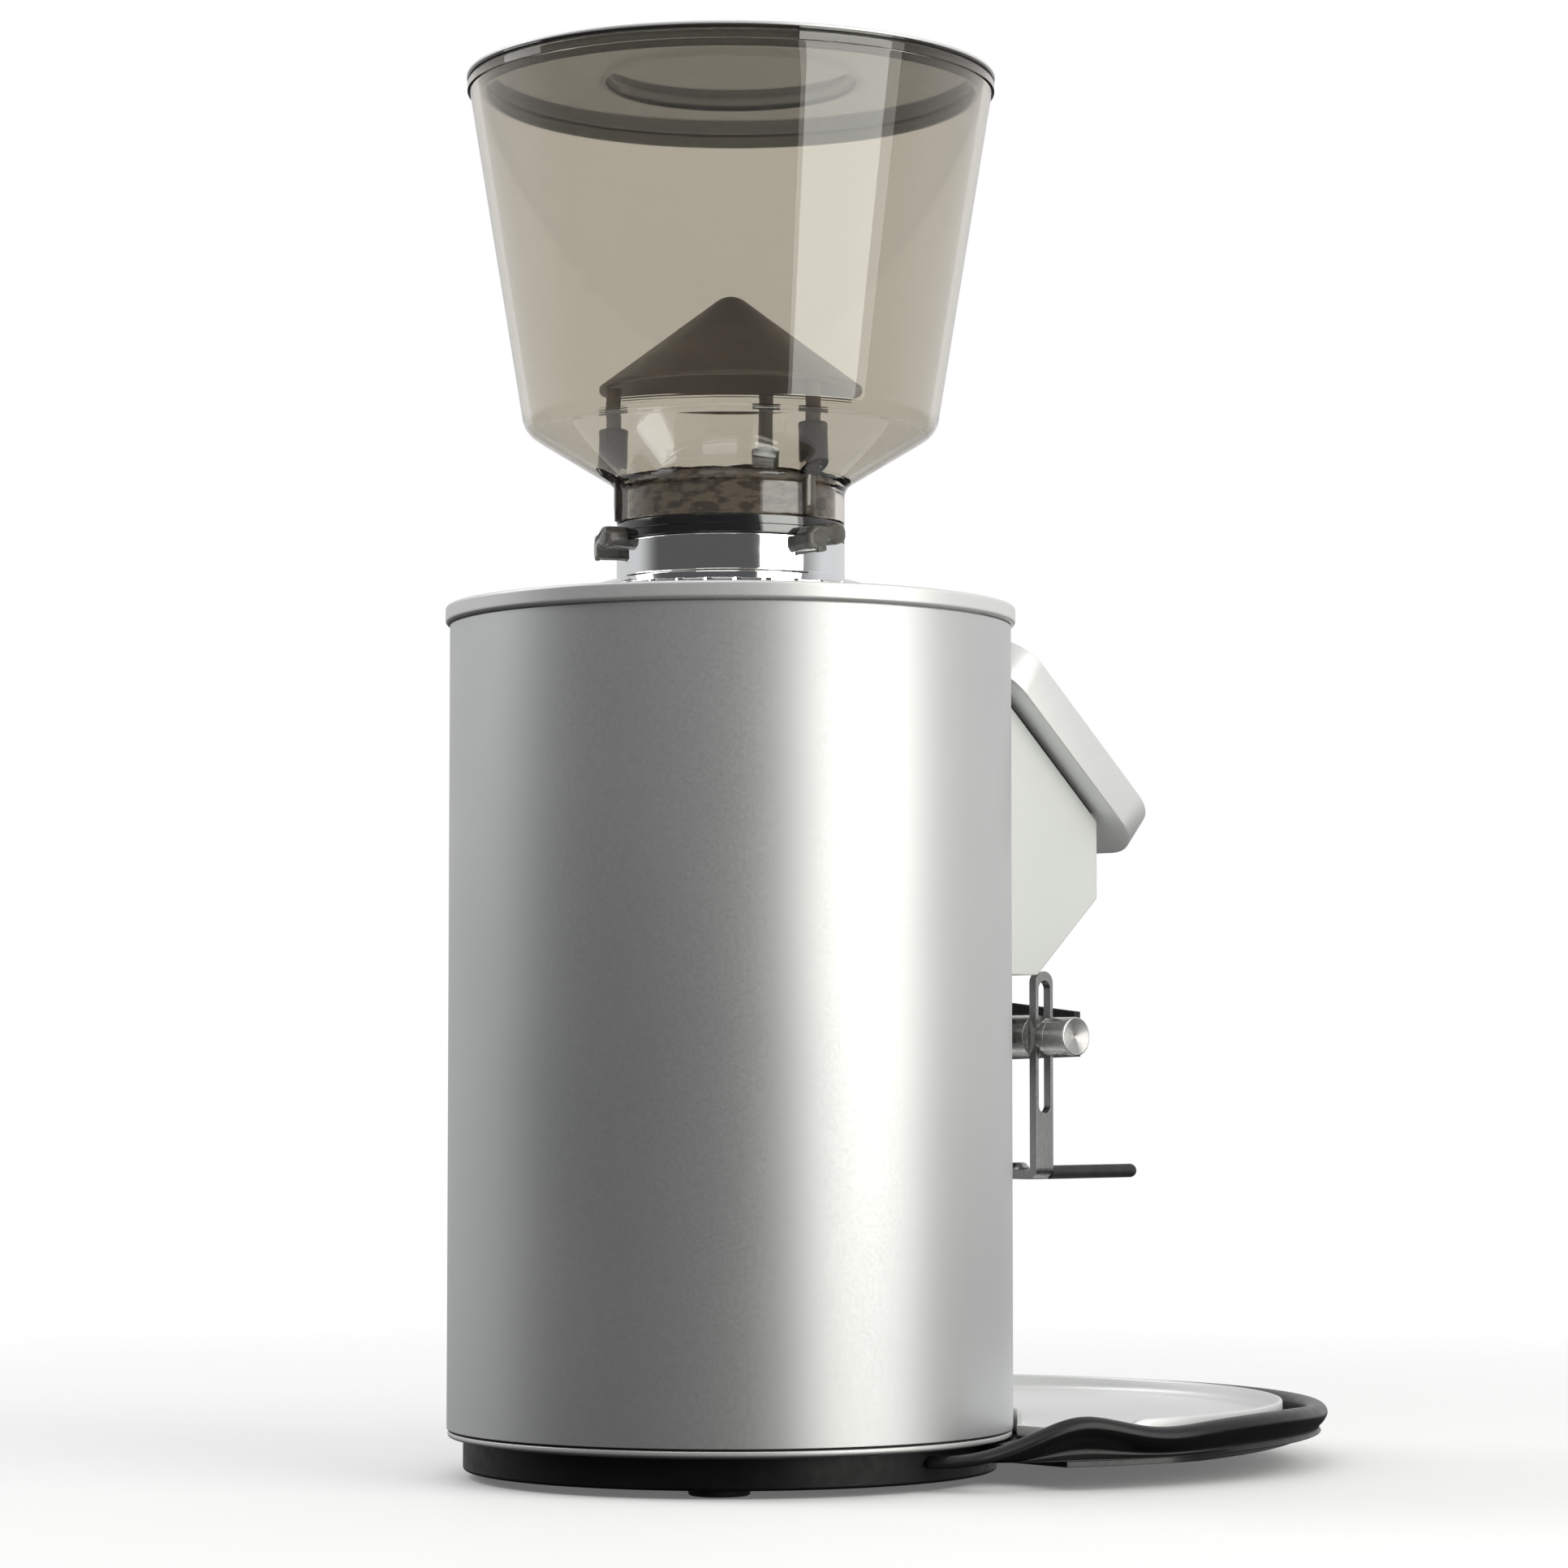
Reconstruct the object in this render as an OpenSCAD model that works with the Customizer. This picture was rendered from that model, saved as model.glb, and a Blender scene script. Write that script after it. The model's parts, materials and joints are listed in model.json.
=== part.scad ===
// Doser-less burr coffee grinder with a bean hopper, an adjustable portafilter
// fork and a drip tray. Millimetres, +Z up. The origin is the point where the
// axis of the round body meets the counter, and the front faces -Y.

/* [Body] */
// Diameter of the round body tube
body_d = 190; // [188:1:192]
// Wall thickness of the body tube
body_wall = 1.5; // [1:0.25:2]
// Height of the upper edge of the body tube
body_top = 285.2; // [284.8:0.1:285.4]
// Diameter of the top cap
cap_d = 193; // [192.5:0.5:195]
// Diameter of the base pan
base_d = 179; // [178:1:180]
// Height of the rubber feet
foot_h = 2.5; // [2.2:0.1:2.8]

/* [Hopper] */
// Outer diameter of the hopper neck
neck_d = 77.4; // [77:0.2:78]
// Outer diameter where shoulder and wall of the hopper meet
bend_d = 140.2; // [136:1:144]
// Outer diameter of the hopper wall at its rim
rim_d = 178.8; // [174:1:182]
// Wall thickness of the hopper
hopper_wall = 3; // [2.8:0.1:3.2]
// Height of the rim above the counter
rim_z = 471.2; // [460:1:475]
// Diameter of the bean deflector cone
cone_d = 89.4; // [88:0.2:91]

/* [Head] */
// Width of the front housing
housing_w = 90; // [84:1:94]
// Width of the display case
display_w = 107.4; // [104:1:112]
// Thickness of the display case
display_t = 13.5; // [13:0.5:15]
// Tilt of the display case from the horizontal
slope = 41.6; // [41.4:0.1:41.8]

/* [Fork] */
// Distance between the outer faces of the two fork bars
fork_w = 66; // [64:0.5:68]
// Thickness of a fork bar
bar_t = 3.3; // [3:0.1:3.4]
// Width of a fork bar
bar_w = 8.4; // [8.2:0.1:8.6]
// Diameter of a prong sleeve
sleeve_d = 4.8; // [4.6:0.1:5]
// Diameter of a clamp knob
knob_d = 13.7; // [12:0.1:14]

/* [Tray] */
// Outer radius of the drip tray
tray_r = 122.3; // [120:0.5:123]
// Height of the drip tray's rim above the counter
tray_top = 19.8; // [19:0.2:20.4]
// Outer radius of the tray holder's rim
holder_r = 138; // [136.5:0.5:139]

/* [Hidden] */

$fn = 96;
body_r = body_d / 2;
body_bore = body_r - body_wall;
body_bottom = 16.2;
cap_r = cap_d / 2;
cap_bottom = 285.7;
cap_top = 291.7;
cap_plate = 3;
base_r = base_d / 2;
base_floor = 3;
base_top = 12.7;
lip_low = 13.7;               // where the lip ring turns in under the body
lip_top = 15.4;
seat = 0.1;                 // gap between a curved part and the tube it leans on

feet = [45, 135, 225, 315];
foot_at = 74;
pillars = [60, 180, 300];
pillar_at = 72;
pillar_r = 6;
holder_x = [-40, 40];       // screws that hold the tray holder to the base pan
holder_z = 10.4;
tray_back = -62;              // straight rear edges of the drip tray
bracket_x = [-11, 11];      // screws that hold the fork bracket to the body
bracket_dz = [-5, 5];
plate_z = 232;
plate_t = 6;

motor_r = 58;
motor_z = 140;
motor_h = 56;
motor_end = motor_z + motor_h;
bell_r = 60;                // outer and inner radius of the motor's two end shields
bell_bore = 56;
bell_z = 104;
flange_z = 224;             // underside of the upper end shield's plate
winding_h = 14;             // height of the winding heads above and below the core
bearing_r = 16;
bearing_h = 10;
shaft_r = 7;
shaft_gap = 0.05;
bolts = [15, 105, 195, 285];
bolt_at = 64;

chamber_z = plate_z + plate_t;
chamber_top = cap_top - cap_plate - 0.2;
chamber_bore = 36;
chamber_floor = 8;
ears = [45, 135, 225, 315];
ear_at = 54;
burr_r = 32;
burr_eye = 19;
lower_burr_z = 254.2;
upper_burr_z = 262.6;
burr_t = 7.6;
thread_r = 34.2;
collar_bore = thread_r + shaft_gap;
collar_r = 55;
journal_r = 42;
collar_z = cap_top + 0.5;
collar_top = 313.5;
collar_low = 2.8;           // depth of the collar's journal below its flange
burr_teeth = 24;
grip_step = 10;             // angle between the grip notches of the collar

neck_r = neck_d / 2;
neck_z = 320.2;
lock_z = collar_top + 0.3;
leg_angles = [-90, 30, 150];
leg_at = 40.4;
leg_r = 2.5;
cone_r = cone_d / 2;
cone_z = 365.6;
cone_peak = 400.6;

housing_plane = 254.6;      // offset of the housing's upper face along the slope's normal
gasket_t = 2;
case_plane = housing_plane + gasket_t;
case_low = 30.4;            // lower and upper end of the case along the slope
case_high = 124.5;
case_corner = 15;
shell_t = 2.5;
facet_f = 119;              // middle of the slanted underside, forward of the axis and up
facet_z = 183;
chute_tilt = 48;
chute_bore = 10;
chute_r = 12.5;
key_x = [-20, 0, 20];
key_s = 45;
key_r = 5.5;
key_gap = 0.3;

fork_f = 118.6;
rod_z = 147.1;
rod_r = 7.65;
rod_half = fork_w / 2 - bar_t - 0.2;
bar_top = 170;
slot_w = 6;
slot_low = 120.4;
slot_high = 166.7;
screw_r = 2.45;
prong_z = 99.8;
prong_end = 167;
washer_r = 5.35;
washer_t = 2.3;
knob_l = 13;

tray_f = 95;
tray_z = 13.4;
tray_wall = 1.5;
rim_r = holder_r - 4;
rim_end = 136;              // the holder's rim ends this far round from the front
rim_step = 2.5;
switch_at = 90;
switch_z = 62;
switch_w = 20;              // width and height of the hole for the switch
switch_h = 28;
bezel = 2;
gland_at = 108;
gland_z = 36;
gland_bore = 3.6;

// --- shared shapes ---

function unit(v) = v / norm(v);

// Points on the arc that rounds corner b of the path a, b, c
function fillet(a, b, c, r, n) =
    let (u = unit(a - b), v = unit(c - b), half = acos(u * v) / 2,
         centre = b + unit(u + v) * r / sin(half),
         p = b + u * r / tan(half) - centre, q = b + v * r / tan(half) - centre,
         from = atan2(p.y, p.x), turn = atan2(q.y, q.x) - from,
         sweep = turn > 180 ? turn - 360 : turn < -180 ? turn + 360 : turn)
    [for (i = [0:n]) centre + r * [cos(from + sweep * i / n), sin(from + sweep * i / n)]];

// A closed outline of [x, y, corner radius] entries
function rounded(pts, n = 6) =
    [for (i = [0:len(pts) - 1])
        let (k = len(pts), a = pts[(i + k - 1) % k], b = pts[i], c = pts[(i + 1) % k])
        each b.z == 0 ? [[b.x, b.y]]
            : fillet([a.x, a.y], [b.x, b.y], [c.x, c.y], b.z, n)];

// Corner b of the path a, b, c after the path has moved d to its left
function moved_corner(a, b, c, d) =
    let (u = unit(b - a), v = unit(c - b), m = [-u.y, u.x], n = [-v.y, v.x])
    b + d * (m + n) / (1 + m * n);

module lathe(pts, n = 6) rotate_extrude() polygon(rounded(pts, n));

module ring(outer, inner, low, high) {
    translate([0, 0, low]) difference() {
        cylinder(r = outer, h = high - low);
        translate([0, 0, -1]) cylinder(r = inner, h = high - low + 2);
    }
}

module post(r, low, high) translate([0, 0, low]) cylinder(r = r, h = high - low);

// Turns and moves its children to an angle round the body, 0 at the front
module at_angle(a, r = 0) rotate([0, 0, a]) translate([0, -r, 0]) children();

module each_angle(angles, r) for (a = angles) at_angle(a, r) children();

// A cylinder along -Y from y = -near to y = -far
module forward(r, near, far) {
    translate([0, -near, 0]) rotate([90, 0, 0]) cylinder(r = r, h = far - near);
}

// A cylinder along X
module crosswise(r, low, high) translate([low, 0, 0]) rotate([0, 90, 0]) cylinder(r = r, h = high - low);

// Stands its children on the sloping face: x across, y up the slope, z out of it
module on_slope(along = 0, out = 0) rotate([slope, 0, 0]) translate([0, along, out]) children();

// A cylinder on the axis of the grounds chute, measured from the slanted face
module on_chute(r, back, ahead) {
    translate([0, -facet_f, facet_z]) rotate([chute_tilt - 90, 0, 0]) rotate([180, 0, 0])
        translate([0, 0, -back]) cylinder(r = r, h = back + ahead);
}

module rounded_plate(w, h, r, t) {
    linear_extrude(t) polygon(rounded([[-w / 2, 0, r], [w / 2, 0, r], [w / 2, h, r], [-w / 2, h, r]], 10));
}

// --- base and body ---

module rubber_feet() color("#1d1d1e") each_angle(feet, foot_at)
    lathe([[1.75, 1.4, 0], [4.2, 1.4, 0], [4.2, 0, 0], [10, 0, 1], [10, foot_h, 0], [1.75, foot_h, 0]]);

// Rods or holes for the screws of the tray holder and of the fork bracket
module holder_screws(r, near, far) for (x = holder_x) translate([x, 0, holder_z]) forward(r, near, far);

module bracket_screws(r, near, far)
    for (x = bracket_x, dz = bracket_dz) translate([x, 0, rod_z + dz]) forward(r, near, far);

module base_pan() color("#111214") difference() {
    union() {
        lathe([[0, foot_h, 0], [base_r, foot_h, 1], [base_r, base_top, 0], [base_r - 4, base_top, 0],
            [base_r - 4, foot_h + base_floor, 0], [0, foot_h + base_floor, 0]]);
        each_angle(feet, foot_at) post(5, foot_h + 1, 9);
        each_angle(pillars, pillar_at) post(pillar_r + 2, foot_h + 1, base_top);
    }
    each_angle(feet, foot_at) post(1.7, 0, 8);
    for (i = [-4:4]) translate([i * 9 - 1.5, -24, 0]) cube([3, 48, 10]);
    holder_screws(1.65, 60, 100);
}

module base_lip_ring() color("#c9cccd")
    lathe([[84.5, base_top, 0], [base_r + 0.5, base_top, 0.4], [body_r - 0.3, lip_low, 0.9],
        [body_r - 0.3, lip_top, 0.4], [body_r - 1.6, lip_top, 0], [body_r - 1.6, 21, 0], [84.5, 21, 0]], 4);

module body_shell() color("#c3c7c9") difference() {
    ring(body_r, body_bore, body_bottom, body_top);
    translate([-30, -body_r - 5, 186]) cube([60, 40, 56]);
    translate([0, 0, rod_z]) forward(4, 60, body_r + 5);
    bracket_screws(1.6, 60, body_r + 5);
    at_angle(switch_at, body_r) translate([-switch_w / 2 - seat, -10, switch_z - switch_h / 2 - seat])
        cube([switch_w + 2 * seat, 30, switch_h + 2 * seat]);
    at_angle(gland_at) translate([0, 0, gland_z]) forward(7.6, 80, body_r + 5);
}

module top_cap() color("#cfd2d3") difference() {
    lathe([[journal_r + 0.08, cap_top, 0], [cap_r, cap_top, 1], [cap_r, cap_bottom, 1.3],
        [body_bore - 0.2, cap_bottom, 0], [body_bore - 0.2, 278, 0], [body_bore - 3, 278, 0],
        [body_bore - 3, cap_top - cap_plate, 0], [journal_r + 0.08, cap_top - cap_plate, 0]]);
    each_angle(ears, ear_at - 4) post(2, cap_top - 5, cap_top + 1);
    each_angle(ears, ear_at - 4) post(3.8, cap_top - 1.6, cap_top + 1);
}

module cap_screws() color("#8c8f92") each_angle(ears, ear_at - 4) {
    difference() {
        post(3.7, cap_top - 1.6, cap_top - 0.1);
        translate([0, 0, cap_top - 1.1]) cylinder(r = 1.7, h = 2, $fn = 6);
    }
    post(1.95, cap_top - 13, cap_top - 1.6);
}

module chassis_pillars() color("#9a9da0") each_angle(pillars, pillar_at) post(pillar_r, base_top, plate_z);

module support_plate() color("#a7aaad") difference() {
    post(82, plate_z, plate_z + plate_t);
    post(20, plate_z - 1, chamber_z + 1);
    translate([-18, -90, plate_z - 1]) cube([36, 45, plate_t + 2]);
    each_angle(bolts, bolt_at) post(2.25, plate_z - 1, chamber_z + 1);
    each_angle(ears, ear_at) post(2.25, plate_z - 1, chamber_z + 1);
}

// --- motor ---

module motor_stator() color("#6f7376") ring(motor_r, 33.5, motor_z, motor_end);

module motor_windings() color("#a8632f") {
    lathe([[36, motor_z - winding_h, 3], [54, motor_z - winding_h, 5], [54, motor_z, 0], [36, motor_z, 0]]);
    lathe([[36, motor_end, 0], [54, motor_end, 0], [54, motor_end + winding_h, 5],
        [36, motor_end + winding_h, 3]]);
}

// Ears on an end shield that take the motor's long bolts
module bolt_ears(low) each_angle(bolts, bolt_at) difference() {
    translate([-5, -4, low]) cube([10, 10, 10]);
    translate([0, bolt_at, low - 1]) cylinder(r = motor_r, h = 12);
}

module motor_bottom_bell() color("#8e9194") difference() {
    union() {
        lathe([[bearing_r + shaft_gap, bell_z, 0], [bell_r, bell_z, 4], [bell_r, motor_z, 0],
            [bell_bore, motor_z, 0], [bell_bore, bell_z + 9, 0], [bearing_r + 4, bell_z + 9, 0],
            [bearing_r + 4, bell_z + 11, 0], [bearing_r + shaft_gap, bell_z + 11, 0]]);
        bolt_ears(bell_z);
    }
    each_angle(bolts, bolt_at) post(2.2, bell_z - 4, bell_z + 16);
}

module motor_top_flange() color("#8e9194") difference() {
    union() {
        lathe([[bearing_r + shaft_gap, flange_z - 6, 0], [bearing_r + 4, flange_z - 6, 0],
            [bearing_r + 4, flange_z, 0], [bell_bore, flange_z, 0], [bell_bore, motor_end, 0],
            [bell_r, motor_end, 0], [bell_r, plate_z, 0], [bearing_r + shaft_gap, plate_z, 0]]);
        bolt_ears(plate_z - 10);
    }
    each_angle(bolts, bolt_at) post(2.2, 200, plate_z + 1);
    each_angle(ears, ear_at) post(2.25, plate_z - 8, plate_z + 1);
    on_chute(chute_r + 0.4, 110, 0);
}

module motor_tie_bolts() color("#b9bcbf") each_angle(bolts, bolt_at) {
    post(4, bell_z - 4, bell_z);
    post(2.15, bell_z, plate_z + plate_t);
}

module shaft_bearings() color("#c9ccd0") for (z = [bell_z + 1, flange_z - 5])
    ring(bearing_r, shaft_r + shaft_gap, z, z + bearing_h);

module run_capacitor() color("#3a3d40") at_angle(240, 66) translate([0, 0, foot_h + base_floor]) {
    post(14, 0, 62);
    for (x = [-5, 5]) translate([x - 0.5, -3, 62]) cube([1, 6, 8]);
}

// Screws that hold the feet, the chamber, the fork bracket and the tray holder
module fixing_screws() color("#a9acaf") {
    each_angle(feet, foot_at) {
        post(3.6, 0.5, 1.4);
        post(1.65, 1.4, 8);
    }
    each_angle(ears, ear_at) {
        post(2.15, 226, chamber_z + 6);
        post(3.8, chamber_z + 6, chamber_z + 9);
    }
    bracket_screws(1.55, 92, 104);
    bracket_screws(2.6, 88, 92);
    holder_screws(1.6, 74, 102);
    holder_screws(2.2, 71, 74);
}

module motor_shaft() color("#d0d3d6") {
    post(shaft_r, 102, 246.6);
    post(4, 246.6, 258);
}

module rotor_core() color("#7d8184") 
    ring(33, shaft_r + 0.02, motor_z + 2, motor_end - 2);

module cooling_fan() color("#2b2d30") difference() {
    union() {
        post(12, 117, 124);
        for (a = [0:45:315]) rotate([0, 0, a]) translate([8, -1, 117]) cube([40, 2, 7]);
    }
    post(shaft_r + 0.02, 110, 130);
}

// --- grinding head ---

module grinding_chamber() color("#9fa2a5") difference() {
    union() {
        post(50, chamber_z, chamber_top);
        each_angle(ears, ear_at) post(7, chamber_z, chamber_z + 6);
    }
    post(chamber_bore, chamber_z + chamber_floor, chamber_top + 1);
    post(11.05, chamber_z - 1, chamber_z + chamber_floor + 1);
    each_angle(ears, ear_at) post(2.2, chamber_z - 1, chamber_z + 7);
    each_angle(ears, ear_at - 4) post(7, chamber_z + 5.9, chamber_top - 10);
    each_angle(ears, ear_at - 4) post(1.95, chamber_top - 11, chamber_top + 1);
    translate([-9, -51, chamber_z + chamber_floor]) cube([18, 24, 14]);
}

module shaft_seal() color("#232323") ring(11, shaft_r + shaft_gap, chamber_z + 1, chamber_z + 7);

module lower_burr_carrier() color("#8a8d90") difference() {
    union() {
        post(33, 246.6, lower_burr_z);
        for (a = [20, 140, 260]) rotate([0, 0, a]) translate([30, -2.5, 247]) cube([5.4, 5, 6]);
    }
    post(4.02, 240, lower_burr_z + 1);
}

// A flat burr: a hardened ring with a bevelled face cut by slanted teeth
module burr_ring(face) difference() {
    lathe([[burr_eye, 0, 0], [burr_r, 0, 0], [burr_r, burr_t, 0], [burr_r - 4, burr_t, 0],
        [burr_eye, burr_t - 3.2, 0]]);
    for (i = [0:burr_teeth - 1]) rotate([0, 0, i * 360 / burr_teeth])
        translate([burr_eye - 2, -face * 4, burr_t - 1.4]) rotate([0, 0, face * 18]) cube([17, 1.4, 3]);
}

module lower_burr() color("#b4b8bc") translate([0, 0, lower_burr_z]) burr_ring(1);

module upper_burr() color("#b4b8bc") translate([0, 0, upper_burr_z + burr_t]) mirror([0, 0, 1]) burr_ring(-1);

module burr_bolt() color("#c5c8ca") {
    translate([0, 0, 258]) difference() {
        lathe([[0, 0, 0], [11, 0, 0], [11, 2.4, 0.6], [7, 2.4, 0], [5, 6, 0.8], [0, 6, 0]]);
        translate([0, 0, 3]) cylinder(r = 2.4, h = 5, $fn = 6);
    }
    ring(18.6, 4, lower_burr_z, 258);
}

module upper_burr_carrier() color("#999c9f")
    lathe([[29, upper_burr_z + burr_t, 0], [35.9, upper_burr_z + burr_t, 0], [35.9, 280, 0.6],
        [thread_r, 280, 0], [thread_r, 311, 0.8], [29, 311, 1.5]], 4);

// Stack of wave washers that takes the play out of the adjusting thread
module carrier_springs() color("#b0b3b6") for (z = [280:1.9:288])
    ring(35.7, 34.6, z, z + 1.2);

module adjusting_collar() color("#d9dbdd") difference() {
    lathe([[collar_bore, collar_z - collar_low, 0], [journal_r, collar_z - collar_low, 0], [journal_r, collar_z, 0],
        [collar_r, collar_z, 0.5], [collar_r, collar_z + 4.6, 0.6], [neck_r, 301.2, 0.8],
        [neck_r, collar_top, 0.5], [collar_bore, collar_top, 0.5]], 4);
    for (a = [0:grip_step:350]) at_angle(a, collar_r + 0.9) post(1.8, collar_z - 1, collar_z + 8);
}

// --- hopper ---

module lug(inner, outer, half, low, high) intersection() {
    ring(outer, inner, low, high);
    translate([-half, -outer - 1, low - 1]) cube([2 * half, outer - inner + 8, high - low + 2]);
}

module lock_ring() color("#17181a") {
    ring(neck_r, 35.7, lock_z, neck_z - 0.3);
    for (a = leg_angles) at_angle(a) {
        lug(neck_r + 0.4, 47, 7.5, 307.6, lock_z);
        lug(neck_r - 0.2, 47, 7.5, lock_z, 318);
    }
}

hopper_low = [neck_r, neck_z];
hopper_neck = [neck_r, 333];
hopper_bend = [bend_d / 2, 352];
hopper_rim = [rim_d / 2, rim_z];

// Outer outline of the hopper as a solid of revolution
module hopper_outside() lathe([[0, neck_z, 0], [hopper_low.x, hopper_low.y, 0.5],
    [hopper_neck.x, hopper_neck.y, 6], [hopper_bend.x, hopper_bend.y, 9],
    [hopper_rim.x - 0.4, rim_z - 3.2, 0], [hopper_rim.x + 0.5, rim_z - 3, 0],
    [hopper_rim.x + 0.5, rim_z, 0.6], [0, rim_z, 0]], 8);

module hopper_inside() {
    inner_neck = moved_corner(hopper_low, hopper_neck, hopper_bend, hopper_wall);
    inner_bend = moved_corner(hopper_neck, hopper_bend, hopper_rim, hopper_wall);
    lathe([[0, neck_z - 1, 0], [inner_neck.x, neck_z - 1, 0], [inner_neck.x, inner_neck.y, 3],
        [inner_bend.x, inner_bend.y, 6], [hopper_rim.x - hopper_wall + 0.2, rim_z + 1, 0],
        [0, rim_z + 1, 0]], 8);
}

module rim_notches() for (a = [-118.5, 61.5])
    at_angle(a, rim_d / 2 + 0.6) translate([-0.6, -1, rim_z - 4]) cube([1.2, 2.2, 8]);

module hopper_shell() color("#b5ad9c", 0.55) difference() {
    union() {
        difference() { hopper_outside(); hopper_inside(); }
        intersection() {
            hopper_outside();
            each_angle(leg_angles, leg_at) post(4.7, 334, 348);
        }
    }
    each_angle(leg_angles, leg_at) post(leg_r + 0.1, 337.5, 349);
    post(35.7, neck_z - 1, 338);
    rim_notches();
}

module neck_insert() color("#5a4a3c") lathe([[32.6, lock_z + 0.4, 0], [35.5, lock_z + 0.4, 0],
    [35.5, 336.4, 0.6], [32.0, 336.4, 0.6], [32.0, 334.6, 0], [32.6, 334.6, 0]], 3);

cone_slope = (cone_peak - cone_z - 1.6) / (cone_r - 0.5);

// Solid of revolution under the deflector's outer skin, lowered by a wall
module cone_solid(wall, low) {
    peak = cone_peak - wall;
    tip_r = 8 - wall;
    turn = atan(cone_slope);
    tip_z = peak - tip_r / cos(turn);
    rim = (peak - low) / cone_slope;
    rotate_extrude() polygon(concat([[0, low], [min(rim, cone_r), low]],
        rim > cone_r ? [[cone_r, peak - cone_slope * cone_r]] : [],
        [for (i = [0:5]) [tip_r * sin(turn * (1 - i / 5)), tip_z + tip_r * cos(turn * (1 - i / 5))]]));
}

module deflector_cone() color("#6f6257", 0.8) difference() {
    cone_solid(0, cone_z);
    cone_solid(3, cone_z - 0.01);
}

module deflector_legs() color("#5e544b", 0.9) difference() {
    each_angle(leg_angles, leg_at) post(leg_r, 338, 372);
    cone_solid(0, cone_z - 0.01);
    each_angle(leg_angles, leg_at) post(leg_r + 1, cone_z, 380);
}

module hopper_lid() color("#a39c8e", 0.6) difference() {
    lathe([[0, rim_z + 6.1, 0], [43.4, rim_z + 6.1, 1.6], [44.6, rim_z + 2.3, 1],
        [rim_d / 2 + 0.6, rim_z + 2.3, 0.7], [rim_d / 2 + 0.6, rim_z + 0.3, 0.5], [85, rim_z + 0.3, 0],
        [85, rim_z - 4.7, 0.5], [83, rim_z - 4.7, 0.5], [83, rim_z + 0.3, 0], [42.8, rim_z + 0.3, 1],
        [41.6, rim_z + 4.1, 1], [0, rim_z + 4.1, 0]], 4);
    rim_notches();
}

// --- front housing and display ---

module housing_outline(inset) {
    upper = (housing_plane - inset) / cos(slope);
    fall = tan(slope);
    front = 132.8 - inset;
    back = 60;
    low = 168.3 + inset;
    facet = 102.6 - inset * 0.4;
    rotate([90, 0, -90]) translate([0, 0, -housing_w / 2 + inset]) linear_extrude(housing_w - 2 * inset)
        polygon(rounded([[back, low, 0], [facet, low, 2], [front, 195.6 + inset * 0.4, 2],
            [front, upper - fall * front, 1.5], [back, upper - fall * back, 0]], 4));
}

module front_housing() color("#d7dad8") difference() {
    housing_outline(0);
    housing_outline(shell_t);
    post(body_r + seat, 100, 300);
    on_chute(13.2, 8, 8);
    on_slope(70, housing_plane - 6) translate([-12, 0, 0]) cube([24, 16, 10]);
}

module housing_gasket() color("#8f9294") difference() {
    on_slope(51, housing_plane) translate([2 - housing_w / 2, 0, 0]) difference() {
        cube([housing_w - 4, 67, gasket_t]);
        translate([housing_w / 2 - 14, 19, -1]) cube([24, 16, gasket_t + 2]);
    }
    post(body_r + seat, 100, 300);
}

glass_w = 62;
glass_h = 30;
glass_s = 62;

module key_outline(gap) for (x = key_x) translate([x, key_s, 0]) circle(r = key_r + gap);

module display_case() color("#d2d5d6") difference() {
    on_slope(case_low, case_plane) rounded_plate(display_w, case_high - case_low, case_corner, display_t);
    on_slope(case_low + shell_t, case_plane + shell_t)
        rounded_plate(display_w - 2 * shell_t, case_high - case_low - 2 * shell_t, case_corner - shell_t,
            display_t - 2 * shell_t);
    on_slope(0, case_plane + 4) linear_extrude(display_t) key_outline(key_gap);
    on_slope(glass_s, case_plane + display_t - 1.6) translate([-glass_w / 2 - 0.1, -0.1, 0])
        cube([glass_w + 0.2, glass_h + 0.2, 3]);
    on_slope(glass_s, case_plane + 4) translate([-glass_w / 2 + 2, 2, 0]) cube([glass_w - 4, glass_h - 4, 12]);
    on_slope(70, case_plane - 1) translate([-12, 0, 0]) cube([24, 16, 6]);
    post(body_r + seat, 100, 300);
}

module display_glass() color("#0d1114") on_slope(glass_s, case_plane + display_t - 1.6)
    translate([-glass_w / 2, 0, 0]) cube([glass_w, glass_h, 1.5]);

module control_board() color("#1f6b43") difference() {
    union() {
        on_slope(37, case_plane + shell_t + 0.8) translate([-42, 0, 0]) cube([84, 60, 1.6]);
        on_slope(glass_s + 3, case_plane + shell_t + 2.4) translate([-27, 0, 0]) cube([54, 24, 5]);
    }
    post(body_r + 1, 100, 300);
}

module display_key(i) color("#e7e9ea") on_slope(key_s, case_plane + shell_t + 3.9) translate([key_x[i], 0, 0])
    lathe([[0, 0, 0], [key_r, 0, 0], [key_r, display_t - shell_t - 2.9, 0.6], [4.4, display_t - shell_t - 3.1, 1.5],
        [0, display_t - shell_t - 3.3, 0]], 4);

module outlet_chute() color("#26282a") difference() {
    on_chute(chute_r, 98, -3.2);
    on_chute(chute_bore, 110, 5);
    post(50 + seat, 200, 300);
}

module outlet_spout() color("#18191b") difference() {
    union() {
        on_chute(13.1, 3.1, 9);
        on_chute(16, -0.4, 2.4);
    }
    on_chute(chute_bore, 10, 20);
}

// --- portafilter fork ---

module fork_bracket() color("#2a2c2e") difference() {
    translate([-16, -fork_f, rod_z - 7.6]) cube([32, fork_f - 80, 15.2]);
    post(body_r, 100, 200);
    translate([0, -fork_f, rod_z]) crosswise(rod_r, -20, 20);
    translate([0, 0, rod_z]) forward(3.1, 60, 130);
    bracket_screws(1.6, 60, body_r + 10);
}

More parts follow.
